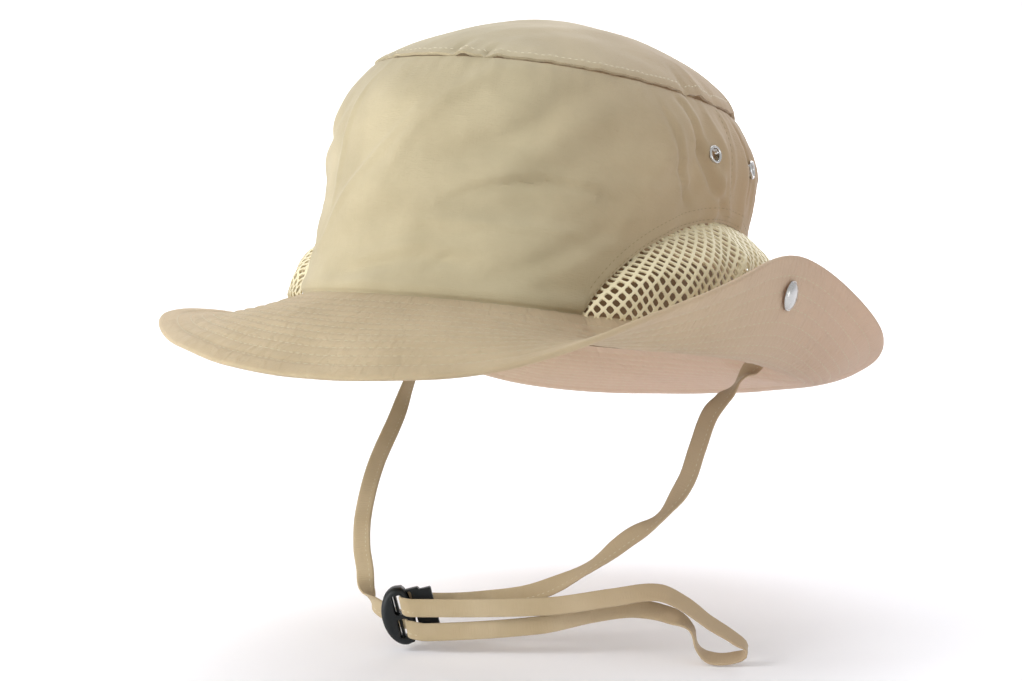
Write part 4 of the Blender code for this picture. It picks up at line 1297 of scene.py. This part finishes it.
def makeStrap():
    frames = strapFrames()
    last = len(frames) - 1

    def place(u, v):
        point, side, face = frames[round(v * last)]
        across, through = tapeSection(u)
        spot = Vector((v * 470.0, across / 0.003, 3.0))
        return point + side * across + face * (through + 0.00012 * noise.noise(spot))

    bm = wrapSheet(28, last, place, lambda u, v: (u * 0.018, v * 0.75))
    bmesh.ops.holes_fill(bm, edges=[e for e in bm.edges if e.is_boundary], sides=0)
    piece = finishPiece("chinStrapTape", bm, tapeCloth, "hat", ["chin_strap"], 60)
    store = []
    row = -(0.5 * strap["width"] - strap["edgeRow"])
    # the tape comes out of the lock turned over, so that the row is on the tail's upper edge
    seat = lockPlace().translation
    near = [k for k, (point, side, face) in enumerate(frames) if (point - seat).length < strap["nearLock"]]
    gap = max(range(1, len(near)), key=lambda i: near[i] - near[i - 1])
    tailStart, tailEnd = near[gap - 1], near[gap]
    for way in (1.0, -1.0):
        def route(t, way=way):
            spot = t * last
            k = min(int(spot), last - 1)
            a, b = frames[k], frames[k + 1]
            mix = spot - k
            face = a[2].lerp(b[2], mix) * way
            edge = -row if tailStart <= k < tailEnd else row
            point = a[0].lerp(b[0], mix) + a[1].lerp(b[1], mix) * edge + face * 0.32 * strap["wall"]
            return point, face
        sewRow(store, route, strap["stitch"])
    stitches = makeStitches("strapStitching", store, strap["stitch"], paleThread, "hat")
    length = sum((b[0] - a[0]).length for a, b in zip(frames, frames[1:]))
    return piece, stitches, frames, length


tape, tapeStitches, strapPath, strapLength = makeStrap()
print("strap made, length", round(strapLength, 4))


# Cord lock: moulded body with two windows, and the button that slides in it
def cutAway(bm, cutter):
    holder = []
    for name, mesh in (("kept", bm), ("cutter", cutter)):
        bmesh.ops.recalc_face_normals(mesh, faces=mesh.faces)
        data = bpy.data.meshes.new(name)
        mesh.to_mesh(data)
        mesh.free()
        holder.append(addObject(name, data))
    modifier = holder[0].modifiers.new("cut", "BOOLEAN")
    modifier.operation = "DIFFERENCE"
    modifier.solver = "EXACT"
    modifier.object = holder[1]
    bpy.context.view_layer.update()
    result = bpy.data.meshes.new_from_object(holder[0].evaluated_get(bpy.context.evaluated_depsgraph_get()))
    for obj in holder:
        bpy.data.objects.remove(obj)
    fresh = bmesh.new()
    fresh.from_mesh(result)
    bpy.data.meshes.remove(result)
    return fresh


def rounded(bm, edges, offset, steps):
    bmesh.ops.bevel(bm, geom=edges, offset=offset, segments=steps, affect="EDGES", profile=0.5, material=-1)


def drawnOut(bm, geom, kind, way):
    # extrudes faces or edges along one way
    drawn = kind(bm, **geom)["geom"]
    bmesh.ops.translate(bm, vec=way, verts=[g for g in drawn if isinstance(g, bmesh.types.BMVert)])


def slab(outline, deep):
    # an outline of x and z pairs, drawn out from -deep to deep along Y
    bm = bmesh.new()
    face = bm.faces.new([bm.verts.new((x, -deep, z)) for x, z in outline])
    drawnOut(bm, {"geom": [face]}, bmesh.ops.extrude_face_region, (0.0, 2.0 * deep, 0.0))
    return bm


def roundedBox(low, high, offset):
    bm = bmesh.new()
    size = Vector(high) - Vector(low)
    middle = (Vector(high) + Vector(low)) * 0.5
    bmesh.ops.create_cube(bm, size=1.0, matrix=Matrix.Translation(middle) @ Matrix.Diagonal((*size, 1.0)))
    if offset > 0.0:
        edges = [e for e in bm.edges if abs((e.verts[0].co - e.verts[1].co).y) > 1e-6]
        rounded(bm, edges, offset, 3)
    return bm


def buttonSizes():
    inner = tapeAcross() - 0.5 * strap["wall"] - lock["lead"] - 0.0011
    half = windowRises()[0] + 0.5 * strap["width"] + lock["windowMargin"] + 0.0009
    return inner, half


def makeLock():
    left = 0.62 * lock["width"]
    right = lock["width"] - left
    half = 0.5 * lock["height"]
    reach = 0.5 * strap["width"] + lock["windowMargin"]
    inner, tall = buttonSizes()
    outline = []
    for k in range(25):
        turn = math.radians(90.0 + 180.0 * k / 24)
        outline.append((left * math.cos(turn), half * math.sin(turn)))
    for k in range(1, 12):
        turn = math.radians(-90.0 + 180.0 * k / 12)
        outline.append((right * math.cos(turn) ** 0.5, half * math.sin(turn)))
    bm = slab(outline, 0.5 * lock["depth"])
    rims = {e for f in bm.faces if len(f.verts) > 6 for e in f.edges}
    rounded(bm, list(rims), lock["rim"], 6)
    deep = 0.5 * lock["buttonThick"] + lock["runGap"]
    start = inner - lock["travel"] - lock["runGap"]
    tallRun = tall + lock["runGap"]
    bm = cutAway(bm, roundedBox((start, -deep, -tallRun), (2.0 * right, deep, tallRun), 0.0))
    x = 0.5 * lock["windowWidth"]
    y = lock["depth"]
    for centre in windowRises():
        bm = cutAway(bm, roundedBox((-x, -y, centre - reach), (x, y, centre + reach), 0.0011))
    body = finishPiece("lockBodyMoulding", bm, acetal, "hat", ["lock_body"], 35, lockPlace())

    outer = right + lock["buttonReach"]
    head = 0.5 * lock["headHeight"]
    shoulder = right + lock["travel"] + lock["shoulder"]
    rim = [(inner, -tall), (shoulder, -tall), (shoulder + lock["shoulder"], -head), (outer, -head)]
    bm = slab(rim + [(x, -z) for x, z in reversed(rim)], 0.5 * lock["buttonThick"])
    rounded(bm, bm.edges[:], 0.0005, 3)
    near = tapeAcross() - 0.5 * strap["wall"] - lock["lead"]
    far = tapeAcross() + 0.5 * strap["wall"] + lock["travel"] + lock["gap"]
    y = lock["buttonThick"]
    for centre in windowRises():
        bm = cutAway(bm, roundedBox((near, -y, centre - reach), (far, y, centre + reach), 0.0008))
    button = finishPiece(
        "lockButtonMoulding", bm, acetal, "button", ["lock_button"], 35, lockPlace()
    )
    return body, button


lockBody, lockButton = makeLock()
print("lock made")

tuple(strapPath[0][0])
[tuple(f[0]) for f in strapPath]

# Floor, backdrop and light
studio = {"floor": -0.1345, "paper": "#F7F7FA", "bend": 3.2, "ambient": 0.73}


def makeStudio():
    # White paper sweep: matt and faintly cool
    values = {"Base Color": hexColour(studio["paper"]), "Roughness": 0.95, "Specular IOR Level": 0.1}
    material = newMaterial("whitePaperSweep", values)[0]
    bm = bmesh.new()
    profile = [(-6.0, 0.0), (-2.0, 0.0), (0.6, 0.0)]
    bend = studio["bend"]
    for k in range(1, 25):
        turn = 0.5 * math.pi * k / 24
        profile.append((0.6 + bend * math.sin(turn), bend * (1.0 - math.cos(turn))))
    profile.append((0.6 + bend, 9.0))
    verts = [bm.verts.new((-9.0, y, z)) for y, z in profile]
    edges = [bm.edges.new(pair) for pair in zip(verts, verts[1:])]
    drawnOut(bm, {"edges": edges}, bmesh.ops.extrude_edge_only, (18.0, 0.0, 0.0))
    turn = Matrix.Rotation(math.radians(view["azimuth"]), 4, "Z")
    bm.transform(Matrix.Translation((0.0, 0.0, studio["floor"])) @ turn)
    bmesh.ops.recalc_face_normals(bm, faces=bm.faces)
    mesh = bpy.data.meshes.new("paperSweep")
    bm.to_mesh(mesh)
    bm.free()
    mesh.materials.append(material)
    mesh.shade_smooth()
    sweep = addObject("paperSweep", mesh)

    world = bpy.data.worlds.new("studio")
    world.use_nodes = True
    sky = world.node_tree.nodes["Background"].inputs
    sky["Color"].default_value = (0.97, 0.98, 1.0, 1.0)
    sky["Strength"].default_value = studio["ambient"]
    bpy.context.scene.world = world
    bpy.context.scene.view_settings.view_transform = "Standard"


def addLight(name, azimuth, elevation, distance, size, power, aim):
    spot = pointedTo(azimuth, elevation) * distance
    data = bpy.data.lights.new(name, "AREA")
    data.shape = "DISK"
    data.size = size
    data.energy = power
    lamp = addObject(name, data)
    lamp.location = spot
    lamp.rotation_euler = (spot - Vector(aim)).to_track_quat("Z", "Y").to_euler()


lights = (
    # name, azimuth, elevation, distance, size, power, the point it is aimed at
    ("keyLight", -26.0, 28.0, 1.6, 0.7, 11.5, (0.0, 0.0, 0.0)),
    ("lowLight", 80.0, 3.0, 1.4, 0.5, 2.6, (0.0, 0.0, 0.0)),
    ("underLight", -40.0, -7.0, 0.6, 0.10, 1.1, (0.0, 0.13, -0.03)),
    ("backLight", 200.0, 24.0, 1.8, 1.2, 16.0, (0.0, 0.0, 0.0)),
    ("paperLight", 212.0, 60.0, 4.0, 3.0, 45.0, (-1.7, 2.9, 0.9)),
)
makeStudio()
for light in lights:
    addLight(*light)
print("studio set")
